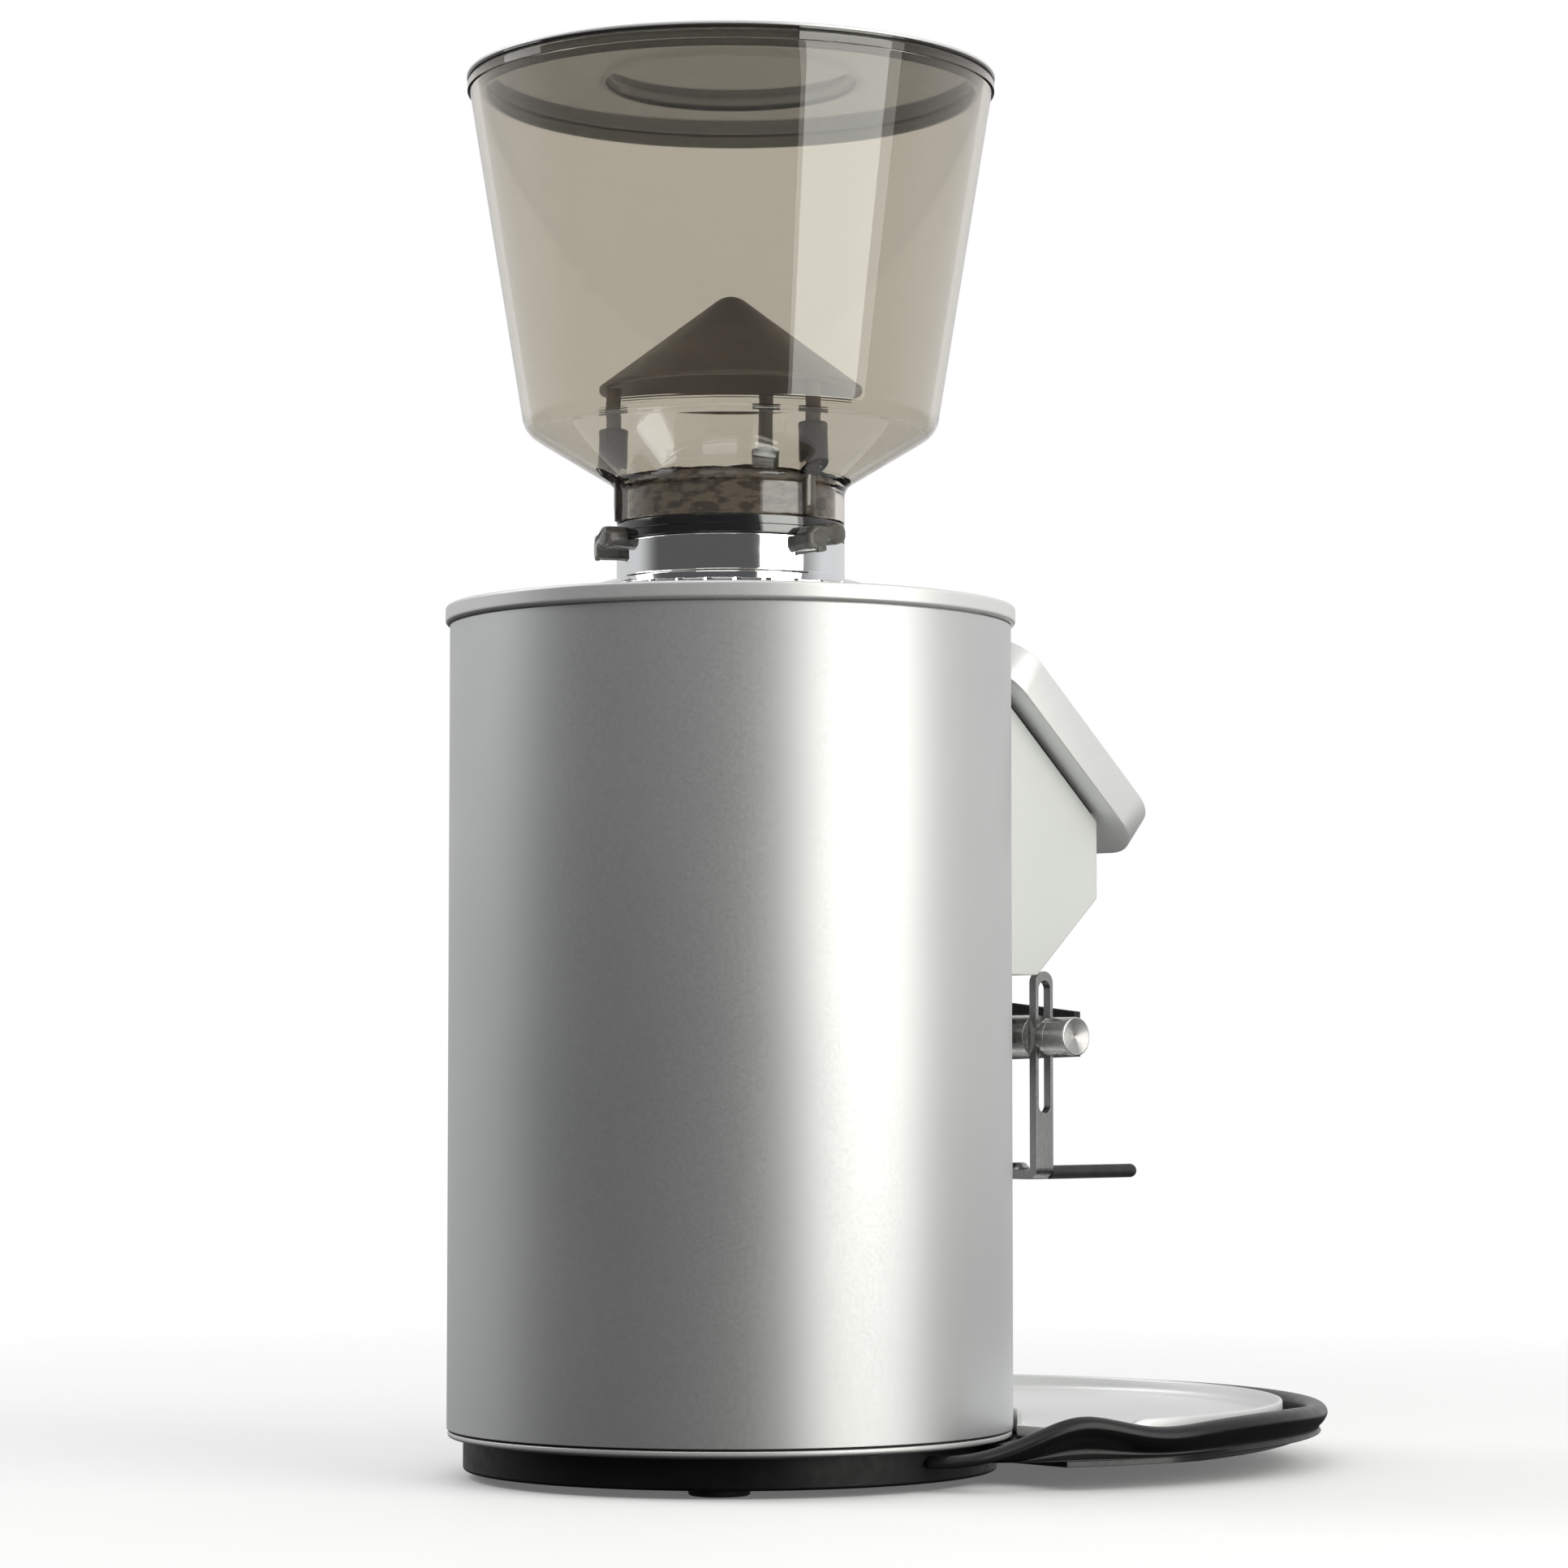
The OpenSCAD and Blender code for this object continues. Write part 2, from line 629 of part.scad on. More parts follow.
module cross_rod() color("#8b8e90") difference() {
    translate([0, -fork_f, rod_z]) crosswise(rod_r, -rod_half, rod_half);
    for (s = [-1, 1]) translate([0, -fork_f, rod_z]) crosswise(screw_r + 0.05, s * 21 - 9.5, s * 21 + 9.5);
    translate([0, 0, rod_z]) forward(3.1, 80, 140);
}

module microswitch() color("#202a55") difference() {
    union() {
        translate([-10, -75.6, rod_z - 10]) cube([20, 9.6, 14]);
        translate([-10, -body_r, rod_z - 12]) cube([20, body_r - 66, 2]);
    }
    difference() { post(200, 0, 300); post(body_bore, -1, 301); }
}

leg_low = 97.4;
strap_bend = 4;

// The strap seen from the front: two uprights joined by a leg with bent corners
module strap_front() difference() {
    polygon(rounded([[-fork_w / 2, bar_top + 1, 0], [-fork_w / 2, leg_low, strap_bend],
        [fork_w / 2, leg_low, strap_bend], [fork_w / 2, bar_top + 1, 0]], 8));
    polygon(rounded([[-fork_w / 2 + bar_t, bar_top + 2, 0], [-fork_w / 2 + bar_t, leg_low + bar_t, 1],
        [fork_w / 2 - bar_t, leg_low + bar_t, 1], [fork_w / 2 - bar_t, bar_top + 2, 0]], 4));
}

// The strap seen from the side: an upright with a round top
module strap_side() polygon(rounded([[-bar_w / 2, leg_low - 1, 0], [bar_w / 2, leg_low - 1, 0],
    [bar_w / 2, bar_top, bar_w / 2 - 0.05], [-bar_w / 2, bar_top, bar_w / 2 - 0.05]], 12));

module strap_slot() {
    for (z = [slot_low + slot_w / 2, slot_high - slot_w / 2])
        translate([0, 0, z]) crosswise(slot_w / 2, -fork_w, fork_w);
    translate([-fork_w, -slot_w / 2, slot_low + slot_w / 2])
        cube([2 * fork_w, slot_w, slot_high - slot_low - slot_w]);
}

module fork_bars() color("#9b9ea0") {
    translate([0, -fork_f, 0]) difference() {
        intersection() {
            rotate([90, 0, 0]) translate([0, 0, -bar_w]) linear_extrude(2 * bar_w) strap_front();
            rotate([90, 0, 90]) translate([0, 0, -fork_w]) linear_extrude(2 * fork_w) strap_side();
        }
        strap_slot();
    }
    for (s = [-1, 1]) {
        translate([s * (fork_w / 2 - 2.4), 0, prong_z]) forward(1.2, fork_f + bar_w / 2 - 1, prong_end - 4);
        translate([s * 20, -fork_f, leg_low + bar_t - 0.1])
            lathe([[0, 0, 0], [4, 0, 0], [4, 0.8, 0], [2.4, 2.6, 1.4], [0, 2.6, 0]], 4);
    }
}

module prong_sleeves() color("#101010") for (s = [-1, 1])
    translate([s * (fork_w / 2 - 2.4), -prong_end + sleeve_d / 2, prong_z]) difference() {
        union() {
            forward(sleeve_d / 2, fork_f + bar_w / 2 + sleeve_d / 2 - prong_end, 0);
            sphere(r = sleeve_d / 2);
        }
        forward(1.25, fork_f + bar_w / 2 + sleeve_d / 2 - prong_end - 1, 0.5);
    }

module washer(s) color("#b7babb") translate([0, -fork_f, rod_z]) mirror([s > 0 ? 0 : 1, 0, 0])
    difference() {
        crosswise(washer_r, fork_w / 2 + 0.1, fork_w / 2 + washer_t);
        crosswise(screw_r + 0.1, fork_w / 2, fork_w / 2 + washer_t + 1);
    }

module knob(s) color("#c2c5c6") translate([0, -fork_f, rod_z]) mirror([s > 0 ? 0 : 1, 0, 0]) {
    crosswise(screw_r, 13.6, fork_w / 2 + washer_t + 1);
    translate([fork_w / 2 + washer_t + 0.02, 0, 0]) rotate([0, 90, 0])
        lathe([[0, 0, 0], [knob_d / 2, 0, 0.6], [knob_d / 2, knob_l, 0.8], [0, knob_l - 0.9, 0]], 4);
}

// Plate that the portafilter presses, with the plunger that carries it
module activation_plate() color("#2b2c2e") {
    translate([0, -130, 0]) rotate([90, 0, 0]) linear_extrude(3)
        polygon([[-36.5, 140.2], [0, 139.2], [36.5, 140.2], [36.5, 156], [4, 159.4], [-4, 159.4], [-36.5, 156]]);
    translate([0, 0, rod_z]) {
        forward(3, 84, 130);
        forward(4.6, 80, 84);
    }
}

// --- tray ---

module tray_outline(inset) difference() {
    translate([0, -tray_f]) circle(r = tray_r - inset, $fn = 180);
    circle(r = body_r + 1.4 + inset, $fn = 180);
    translate([-150, tray_back - inset]) square([300, 100]);
}

module drip_tray() color("#d5d8d9") difference() {
    translate([0, 0, tray_z]) linear_extrude(tray_top - tray_z) tray_outline(0);
    translate([0, 0, tray_z + 1.1]) linear_extrude(20) tray_outline(tray_wall);
    translate([0, -205, tray_z]) cylinder(r = 1.3, h = 5, center = true);
}

module tray_holder() color("#141517") difference() {
    translate([0, -tray_f, 7.4]) cylinder(r = rim_r - 4.1, h = 5.7, $fn = 180);
    post(base_r + seat, 0, base_top);
    post(body_r + 0.3, base_top - 0.2, 20);
    translate([-150, -40, 0]) cube([300, 100, 30]);
    translate([-150, -90, 7.4]) rotate([-1.6, 0, 0]) translate([0, -200, -20]) cube([300, 200, 20]);
    holder_screws(1.65, 60, 104);
}

function bell(x, middle, width) = exp(-pow((x - middle) / width, 2));
function blend(x, from, to) = let (t = min(1, max(0, (x - from) / (to - from)))) t * t * (3 - 2 * t);

// Height of the holder's rim at an angle round the tray, 0 at the front
function rim_top(a) = 20.6 + 1.3 * bell(a, 76, 18) - 1.3 * bell(a, 100, 8) + 3.6 * bell(a, 113.5, 8)
    - 9.2 * blend(a, 112, 134);
function rim_low(a) = 9.6 + 2.2 * (1 - blend(a, 0, 110)) + 0.2 * blend(a, 120, 134);

// Cross-section of the rim: a round bead over a hollowed skirt, as [radius, height]
function rim_section(a) = let (t = rim_top(a), b = rim_low(a), r = rim_r, waist = max(t - 7.2, b + 0.6))
    [[r - 2.4, t - 0.9], [r, t], [r + 2.4, t - 0.9], [r + 3.9, t - 3.2], [r + 3.4, (t - 3.2 + waist) / 2],
     [r + 1.6, waist], [r + 0.6, (waist + b) / 2], [r + 1.8, b], [r - 3.9, b], [r - 3.9, (b + t) / 2]];

module tray_rim() color("#161719") {
    count = ceil(2 * rim_end / rim_step);
    rows = [for (i = [0:count]) let (a = -rim_end + 2 * rim_end * i / count)
        [for (p = rim_section(abs(a))) [p.x * sin(a), -tray_f - p.x * cos(a), p.y]]];
    k = len(rows[0]);
    polyhedron(points = [for (row = rows) each row], faces = concat(
        [[for (j = [0:k - 1]) j]],
        [for (i = [0:count - 1], j = [0:k - 1]) let (n = (j + 1) % k)
            [i * k + j, (i + 1) * k + j, (i + 1) * k + n, i * k + n]],
        [[for (j = [k - 1:-1:0]) count * k + j]]));
}

// --- power ---

module cable_gland() color("#1b1c1e") at_angle(gland_at) translate([0, 0, gland_z]) difference() {
    union() {
        forward(7.5, 84, body_r + 2);
        translate([0, -body_r - 1, 0]) rotate([90, 0, 0]) cylinder(r = 11, h = 5, $fn = 6);
        translate([0, -body_r - 6, 0]) rotate([90, 0, 0])
            lathe([[0, 0, 0], [8.6, 0, 0], [8.2, 7, 2], [4.4, 9, 0], [0, 9, 0]], 4);
        translate([0, -84, 0]) rotate([90, 0, 0]) cylinder(r = 11, h = 4, $fn = 6);
    }
    forward(gland_bore, 70, body_r + 30);
    forward(gland_bore + 0.6, 70, body_r + 1);
}

rocker_pivot = body_r - 3;

module switch_frame() color("#1a1b1d") difference() {
    at_angle(switch_at) translate([0, 0, switch_z]) {
        difference() {
            union() {
                translate([-switch_w / 2 - bezel, -body_r - 2, -switch_h / 2 - bezel - 1])
                    cube([switch_w + 2 * bezel, 4, switch_h + 2 * bezel + 2]);
                translate([-switch_w / 2, -body_r + 1, -switch_h / 2]) cube([switch_w, 18, switch_h]);
            }
            translate([-7, -body_r - 4, -12.2]) cube([14, 14, 24.4]);
            translate([0, -rocker_pivot, 0]) crosswise(1.6, -9, 9);
        }
    }
    difference() {
        at_angle(switch_at) translate([0, 0, switch_z]) difference() {
            translate([-switch_w, -body_r - 0.1, -switch_h]) cube([2 * switch_w, 8, 2 * switch_h]);
            translate([-switch_w / 2, -body_r - 2, -switch_h / 2]) cube([switch_w, 40, switch_h]);
        }
        difference() { post(200, 0, 150); post(body_r + 0.05, -1, 151); }
    }
}

module power_rocker() color("#a3231d") at_angle(switch_at) translate([0, -rocker_pivot, switch_z]) rotate([8, 0, 0]) {
    crosswise(1.55, -8.6, 8.6);
    rotate([90, 0, 90]) translate([0, 0, -6.6]) linear_extrude(13.2)
        polygon(rounded([[-6.2, 10.6, 0.8], [-4.6, 0, 4], [-6.2, -10.6, 0.8], [2.2, -8.5, 1], [3, 0, 0],
            [2.2, 8.5, 1]], 4));
}

// --- assembly ---

rubber_feet();
base_pan();
base_lip_ring();
body_shell();
top_cap();
cap_screws();
chassis_pillars();
support_plate();
motor_stator();
motor_windings();
motor_bottom_bell();
motor_top_flange();
motor_tie_bolts();
shaft_bearings();
run_capacitor();
fixing_screws();
grinding_chamber();
shaft_seal();
front_housing();
housing_gasket();
display_case();
display_glass();
control_board();
outlet_chute();
outlet_spout();
fork_bracket();
cross_rod();
microswitch();
cable_gland();
switch_frame();
tray_holder();
tray_rim();
motor_shaft();
rotor_core();
cooling_fan();
lower_burr_carrier();
lower_burr();
burr_bolt();
upper_burr_carrier();
upper_burr();
carrier_springs();
adjusting_collar();
lock_ring();
hopper_shell();
neck_insert();
deflector_cone();
deflector_legs();
hopper_lid();
fork_bars();
prong_sleeves();
washer(-1);  // washer_left
washer(1);  // washer_right
knob(-1);  // knob_left
knob(1);  // knob_right
activation_plate();
display_key(0);  // display_key_1
display_key(1);  // display_key_2
display_key(2);  // display_key_3
power_rocker();
drip_tray();
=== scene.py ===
import json
import math

import bmesh
import bpy
from mathutils import Matrix, Vector

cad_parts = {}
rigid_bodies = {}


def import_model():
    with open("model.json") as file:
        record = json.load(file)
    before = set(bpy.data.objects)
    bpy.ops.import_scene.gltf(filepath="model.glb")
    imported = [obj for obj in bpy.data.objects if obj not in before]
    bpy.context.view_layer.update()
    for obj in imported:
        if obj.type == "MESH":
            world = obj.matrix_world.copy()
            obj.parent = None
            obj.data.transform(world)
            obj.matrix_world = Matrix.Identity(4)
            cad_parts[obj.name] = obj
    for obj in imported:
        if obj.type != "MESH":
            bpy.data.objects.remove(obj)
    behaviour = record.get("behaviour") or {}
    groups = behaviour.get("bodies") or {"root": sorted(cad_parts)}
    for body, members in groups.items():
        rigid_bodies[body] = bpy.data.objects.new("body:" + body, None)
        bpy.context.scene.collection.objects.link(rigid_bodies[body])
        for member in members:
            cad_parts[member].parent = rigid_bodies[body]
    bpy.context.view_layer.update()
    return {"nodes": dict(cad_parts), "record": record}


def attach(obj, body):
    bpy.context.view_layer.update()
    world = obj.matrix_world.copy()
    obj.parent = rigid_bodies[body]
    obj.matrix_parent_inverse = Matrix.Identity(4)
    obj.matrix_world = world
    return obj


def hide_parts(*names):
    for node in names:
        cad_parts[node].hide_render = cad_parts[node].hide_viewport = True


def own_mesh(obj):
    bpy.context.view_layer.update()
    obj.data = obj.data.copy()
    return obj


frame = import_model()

MM = 0.001
node = frame["nodes"]


# ---------------------------------------------------------------- materials

class Finish:
    """A Principled material with helpers for procedural detail, in object coordinates (metres)."""

    def __init__(self, name, color, roughness, **sockets):
        self.material = bpy.data.materials.new(name)
        self.material.use_nodes = True
        self.tree = self.material.node_tree
        self.shader = self.tree.nodes["Principled BSDF"]
        self.shader.inputs["Base Color"].default_value = (*color, 1)
        self.shader.inputs["Roughness"].default_value = roughness
        for key, value in sockets.items():
            self.shader.inputs[key.replace("_", " ").title().replace("Ior", "IOR")].default_value = value
        self.normal = None

    def add(self, kind, inputs=None, **settings):
        new = self.tree.nodes.new("ShaderNode" + kind)
        for key, value in settings.items():
            setattr(new, key, value)
        for key, value in (inputs or {}).items():
            if isinstance(value, bpy.types.NodeSocket):
                self.tree.links.new(value, new.inputs[key])
            else:
                new.inputs[key].default_value = value
        return new

    def coords(self, stretch=(1, 1, 1)):
        place = self.add("TexCoord").outputs["Object"]
        return self.add("Mapping", {"Vector": place, "Scale": stretch}).outputs["Vector"]

    def noise(self, scale, detail=3.0, stretch=(1, 1, 1), rough=0.5):
        return self.add("TexNoise", {"Vector": self.coords(stretch), "Scale": scale, "Detail": detail,
                                     "Roughness": rough}).outputs["Fac"]

    def remap(self, value, low, high, start=0.3, end=0.7):
        return self.add("MapRange", {"Value": value, "From Min": start, "From Max": end,
                                     "To Min": low, "To Max": high}).outputs["Result"]

    def mix(self, fac, a, b):
        blend = self.add("Mix", data_type="RGBA")
        self.tree.links.new(fac, blend.inputs[0])
        for socket, value in ((blend.inputs[6], a), (blend.inputs[7], b)):
            if isinstance(value, bpy.types.NodeSocket):
                self.tree.links.new(value, socket)
            else:
                socket.default_value = (*value, 1)
        return blend.outputs[2]

    def set(self, name, value):
        self.tree.links.new(value, self.shader.inputs[name])
        return self

    def rough(self, low, high, scale, **options):
        return self.set("Roughness", self.remap(self.noise(scale, **options), low, high))

    def tint(self, a, b, scale, start=0.35, end=0.65, **options):
        spread = self.remap(self.noise(scale, **options), 0, 1, start, end)
        return self.set("Base Color", self.mix(spread, a, b))

    def round_edges(self, radius):
        self.normal = self.add("Bevel", {"Radius": radius * MM}, samples=4).outputs["Normal"]
        return self.set("Normal", self.normal)

    def bump(self, height, depth, strength=1.0):
        inputs = {"Height": height, "Distance": depth * MM, "Strength": strength}
        if self.normal is not None:
            inputs["Normal"] = self.normal
        self.normal = self.add("Bump", inputs).outputs["Normal"]
        return self.set("Normal", self.normal)


def satin_aluminium():
    f = Finish("satin_aluminium", (0.72, 0.735, 0.735), 0.45, metallic=0.85)
    f.tint((0.70, 0.715, 0.715), (0.76, 0.775, 0.77), 9, detail=2)
    f.rough(0.42, 0.48, 900, detail=4)
    f.round_edges(0.35)
    return f.bump(f.noise(3200, detail=2), 0.02, 0.35).material


def bright_aluminium():
    f = Finish("bright_aluminium", (0.88, 0.89, 0.885), 0.4, metallic=0.5)
    f.tint((0.86, 0.87, 0.865), (0.90, 0.91, 0.905), 14, detail=2)
    f.rough(0.38, 0.46, 900, detail=3)
    f.round_edges(0.4)
    return f.bump(f.noise(2600, detail=2), 0.012, 0.2).material


def housing_paint():
    f = Finish("housing_paint", (0.86, 0.885, 0.865), 0.42, coat_weight=0.15, coat_roughness=0.25)
    f.tint((0.845, 0.87, 0.85), (0.875, 0.90, 0.88), 20)
    f.rough(0.38, 0.47, 500)
    f.round_edges(0.8)
    return f.bump(f.noise(1500, detail=3), 0.03, 0.4).material


def chrome():
    f = Finish("chrome", (0.86, 0.87, 0.88), 0.06, metallic=1.0)
    f.rough(0.035, 0.09, 160, detail=4)
    f.round_edges(0.3)
    return f.bump(f.noise(40, detail=1), 0.02, 0.15).material


def stainless():
    f = Finish("stainless", (0.46, 0.465, 0.46), 0.28, metallic=1.0)
    f.tint((0.43, 0.435, 0.43), (0.49, 0.495, 0.49), 40, detail=2)
    f.rough(0.25, 0.33, 300, stretch=(6, 6, 1), detail=2)
    f.round_edges(0.3)
    return f.bump(f.noise(420, stretch=(5, 5, 0.4), detail=2), 0.004, 0.15).material


def turned_steel():
    f = Finish("turned_steel", (0.68, 0.68, 0.665), 0.26, metallic=1.0)
    f.tint((0.64, 0.64, 0.625), (0.72, 0.72, 0.705), 90, detail=2)
    f.rough(0.22, 0.32, 300)
    f.round_edges(0.3)
    return f.bump(f.noise(900, stretch=(4, 1, 1), detail=2), 0.004, 0.2).material


def black_plastic():
    f = Finish("black_plastic", (0.012, 0.0125, 0.014), 0.2, coat_weight=0.25, coat_roughness=0.12)
    f.tint((0.010, 0.0105, 0.012), (0.018, 0.0185, 0.02), 30)
    f.rough(0.16, 0.28, 220, detail=5)
    f.round_edges(0.5)
    return f.bump(f.noise(700, detail=3), 0.02, 0.35).material


def matte_black():
    f = Finish("matte_black", (0.02, 0.02, 0.021), 0.55)
    f.tint((0.015, 0.015, 0.016), (0.03, 0.03, 0.031), 120)
    f.rough(0.45, 0.62, 400)
    f.round_edges(0.3)
    return f.bump(f.noise(2200, detail=3), 0.03, 0.6).material


def rubber():
    f = Finish("rubber", (0.018, 0.018, 0.018), 0.7)
    f.tint((0.014, 0.014, 0.014), (0.03, 0.029, 0.028), 80)
    f.rough(0.62, 0.8, 300)
    return f.bump(f.noise(1600), 0.04, 0.6).material


def smoked_clear():
    f = Finish("smoked_clear", (0.66, 0.63, 0.565), 0.03, transmission_weight=1.0, ior=1.46,
               specular_ior_level=1.0)
    f.tint((0.65, 0.62, 0.555), (0.67, 0.64, 0.575), 8, detail=2)
    return f.rough(0.012, 0.02, 30, detail=2).material


def smoked_brown():
    f = Finish("smoked_brown", (0.24, 0.20, 0.165), 0.4, transmission_weight=0.35, ior=1.46)
    f.tint((0.21, 0.175, 0.145), (0.28, 0.235, 0.195), 24, detail=3)
    f.rough(0.34, 0.48, 180)
    return f.bump(f.noise(500, detail=3), 0.02, 0.3).material


def display_glass():
    f = Finish("display_glass", (0.006, 0.008, 0.010), 0.05, coat_weight=1.0, coat_roughness=0.03)
    f.rough(0.03, 0.08, 90)
    return f.round_edges(0.3).material


def cast_metal():
    f = Finish("cast_metal", (0.42, 0.43, 0.435), 0.45, metallic=0.9)
    f.tint((0.36, 0.37, 0.375), (0.5, 0.51, 0.515), 50, detail=5)
    f.rough(0.38, 0.58, 300)
    return f.bump(f.noise(900, detail=4), 0.08, 0.6).material


def tool_steel():
    f = Finish("tool_steel", (0.5, 0.51, 0.52), 0.25, metallic=1.0)
    f.tint((0.44, 0.45, 0.46), (0.58, 0.59, 0.6), 120)
    f.rough(0.18, 0.34, 500)
    return f.bump(f.noise(1200, stretch=(1, 1, 6)), 0.02, 0.4).material


def lamination():
    f = Finish("lamination", (0.2, 0.205, 0.21), 0.4, metallic=0.8)
    f.tint((0.14, 0.145, 0.15), (0.28, 0.285, 0.29), 1400, stretch=(0.02, 0.02, 1))
    f.rough(0.3, 0.5, 200)
    return f.bump(f.noise(1400, stretch=(0.02, 0.02, 1)), 0.1, 0.8).material


def copper():
    f = Finish("copper", (0.5, 0.2, 0.08), 0.3, metallic=0.9)
    f.tint((0.38, 0.14, 0.05), (0.62, 0.27, 0.12), 900, stretch=(0.1, 0.1, 1))
    f.rough(0.22, 0.4, 300)
    return f.bump(f.noise(900, stretch=(0.1, 0.1, 1)), 0.25, 0.9).material


def circuit_board():
    f = Finish("circuit_board", (0.02, 0.12, 0.06), 0.35)
    f.tint((0.012, 0.09, 0.045), (0.03, 0.2, 0.1), 260, start=0.48, end=0.52)
    f.rough(0.28, 0.42, 200)
    return f.bump(f.noise(260), 0.05, 0.5).material


def red_plastic():
    f = Finish("red_plastic", (0.42, 0.02, 0.012), 0.2, coat_weight=0.4)
    f.tint((0.36, 0.016, 0.010), (0.48, 0.025, 0.015), 60)
    f.rough(0.15, 0.26, 250)
    return f.round_edges(0.4).material


def rim_black():
    f = Finish("rim_black", (0.010, 0.0105, 0.011), 0.3, specular_ior_level=0.4)
    f.tint((0.008, 0.0085, 0.009), (0.014, 0.0145, 0.015), 25)
    f.rough(0.26, 0.36, 300, detail=4)
    return f.bump(f.noise(1100, detail=3), 0.02, 0.35).material


def base_black():
    f = Finish("base_black", (0.006, 0.006, 0.007), 0.4, specular_ior_level=0.25)
    f.tint((0.004, 0.004, 0.005), (0.011, 0.011, 0.012), 40)
    f.rough(0.34, 0.48, 260, detail=4)
    return f.bump(f.noise(900, detail=3), 0.02, 0.35).material


def dusty_brown():
    f = Finish("dusty_brown", (0.20, 0.165, 0.135), 0.6, transmission_weight=0.15, ior=1.46)
    f.tint((0.085, 0.065, 0.05), (0.33, 0.28, 0.235), 190, start=0.42, end=0.56, detail=6,
           stretch=(1, 1, 2.2))
    f.rough(0.5, 0.75, 220)
    return f.bump(f.noise(700, detail=4), 0.06, 0.6).material


def dark_smoked():
    f = Finish("dark_smoked", (0.15, 0.135, 0.115), 0.14, transmission_weight=0.7, ior=1.46)
    f.tint((0.10, 0.09, 0.075), (0.20, 0.18, 0.155), 120, detail=4)
    f.rough(0.1, 0.24, 260)
    return f.bump(f.noise(300, detail=3), 0.03, 0.3).material


def gloss_black():
    f = Finish("gloss_black", (0.010, 0.010, 0.011), 0.07, coat_weight=0.5, coat_roughness=0.04)
    f.tint((0.008, 0.008, 0.009), (0.016, 0.016, 0.017), 60)
    return f.rough(0.05, 0.12, 140, detail=4).material


def smoked_lug():
    f = Finish("smoked_lug", (0.17, 0.165, 0.15), 0.12, transmission_weight=0.35, ior=1.46)
    f.tint((0.14, 0.135, 0.12), (0.21, 0.205, 0.185), 90, detail=3)
    f.rough(0.09, 0.18, 200)
    return f.bump(f.noise(300, detail=2), 0.01, 0.2).material


def smoked_lid():
    f = Finish("smoked_lid", (0.12, 0.117, 0.107), 0.05, transmission_weight=0.9, ior=1.46)
    f.tint((0.105, 0.102, 0.092), (0.14, 0.136, 0.124), 12, detail=2)
    f.rough(0.04, 0.10, 120, detail=4)
    return f.bump(f.noise(26, detail=1), 0.03, 0.12).material


def grounds():
    f = Finish("grounds", (0.055, 0.034, 0.022), 0.75)
    f.tint((0.03, 0.018, 0.012), (0.10, 0.062, 0.04), 900, detail=4)
    f.rough(0.65, 0.85, 700)
    return f.bump(f.noise(2600, detail=3), 0.05, 0.7).material


def lit_segments():
    f = Finish("lit_segments", (0.75, 0.88, 0.95), 0.4, emission_strength=1.6)
    f.shader.inputs["Emission Color"].default_value = (0.72, 0.9, 1.0, 1)
    return f.rough(0.35, 0.5, 600).material


def dim_segments():
    f = Finish("dim_segments", (0.028, 0.034, 0.038), 0.25)
    f.tint((0.024, 0.030, 0.034), (0.032, 0.038, 0.042), 200)
    return f.rough(0.2, 0.32, 300).material


FINISH = {make.__name__: make() for make in (
    housing_paint, chrome, stainless, black_plastic, matte_black, rubber, smoked_clear, smoked_brown,
    display_glass, cast_metal, tool_steel, lamination, copper, circuit_board, red_plastic, satin_aluminium,
    bright_aluminium, turned_steel, rim_black, base_black, dusty_brown, dark_smoked, gloss_black, smoked_lug,
    smoked_lid, grounds, lit_segments, dim_segments)}


def paint(name, finish):
    mesh = node[name].data
    mesh.materials.clear()
    mesh.materials.append(FINISH[finish])


for part in frame["record"]["subparts"]:
    paint(part["node"], part["material_slot"])
for name in ("drip_tray", "base_lip_ring", "top_cap", "display_case"):
    paint(name, "bright_aluminium")
for name in ("knob_left", "knob_right", "cross_rod"):
    paint(name, "turned_steel")
paint("hopper_lid", "smoked_lid")
paint("base_pan", "base_black")
paint("neck_insert", "dusty_brown")


# ---------------------------------------------------------------- mesh helpers

def rounded(points, steps=6):
    """A closed outline of (x, y, corner radius) entries, as plain points."""
    out = []
    for i, (x, y, r) in enumerate(points):
        here = Vector((x, y))
        if not r:
            out.append((x, y))
            continue
        before = (Vector(points[i - 1][:2]) - here).normalized()
        after = (Vector(points[(i + 1) % len(points)][:2]) - here).normalized()
        half = before.angle(after) / 2
        centre = here + (before + after).normalized() * r / math.sin(half)
        start = here + before * r / math.tan(half) - centre
        end = here + after * r / math.tan(half) - centre
        turn = start.angle_signed(end)
        for k in range(steps + 1):
            a = -turn * k / steps
            out.append((centre.x + start.x * math.cos(a) - start.y * math.sin(a),
                        centre.y + start.x * math.sin(a) + start.y * math.cos(a)))
    return out


def skin(bm, rows, wrap_rows=False, caps=False):
    """Faces between rows of points, in millimetres."""
    grid = [[bm.verts.new(Vector(p) * MM) for p in row] for row in rows]
    count = len(grid[0])
    for i in range(len(grid) if wrap_rows else len(grid) - 1):
        a, b = grid[i], grid[(i + 1) % len(grid)]
        for j in range(count):
            bm.faces.new((a[j], a[(j + 1) % count], b[(j + 1) % count], b[j]))
    if caps:
        bm.faces.new(grid[0])
        bm.faces.new(grid[-1])
    return grid


def turned(bm, outline, segments=160, place=Matrix()):
    """A solid of revolution about Z from a closed outline of (radius, height) points."""
    rows = []
    for i in range(segments):
        a = 2 * math.pi * i / segments
        rows.append([place @ Vector((max(r, 0.001) * math.cos(a), max(r, 0.001) * math.sin(a), z))
                     for r, z in outline])
    skin(bm, rows, wrap_rows=True)


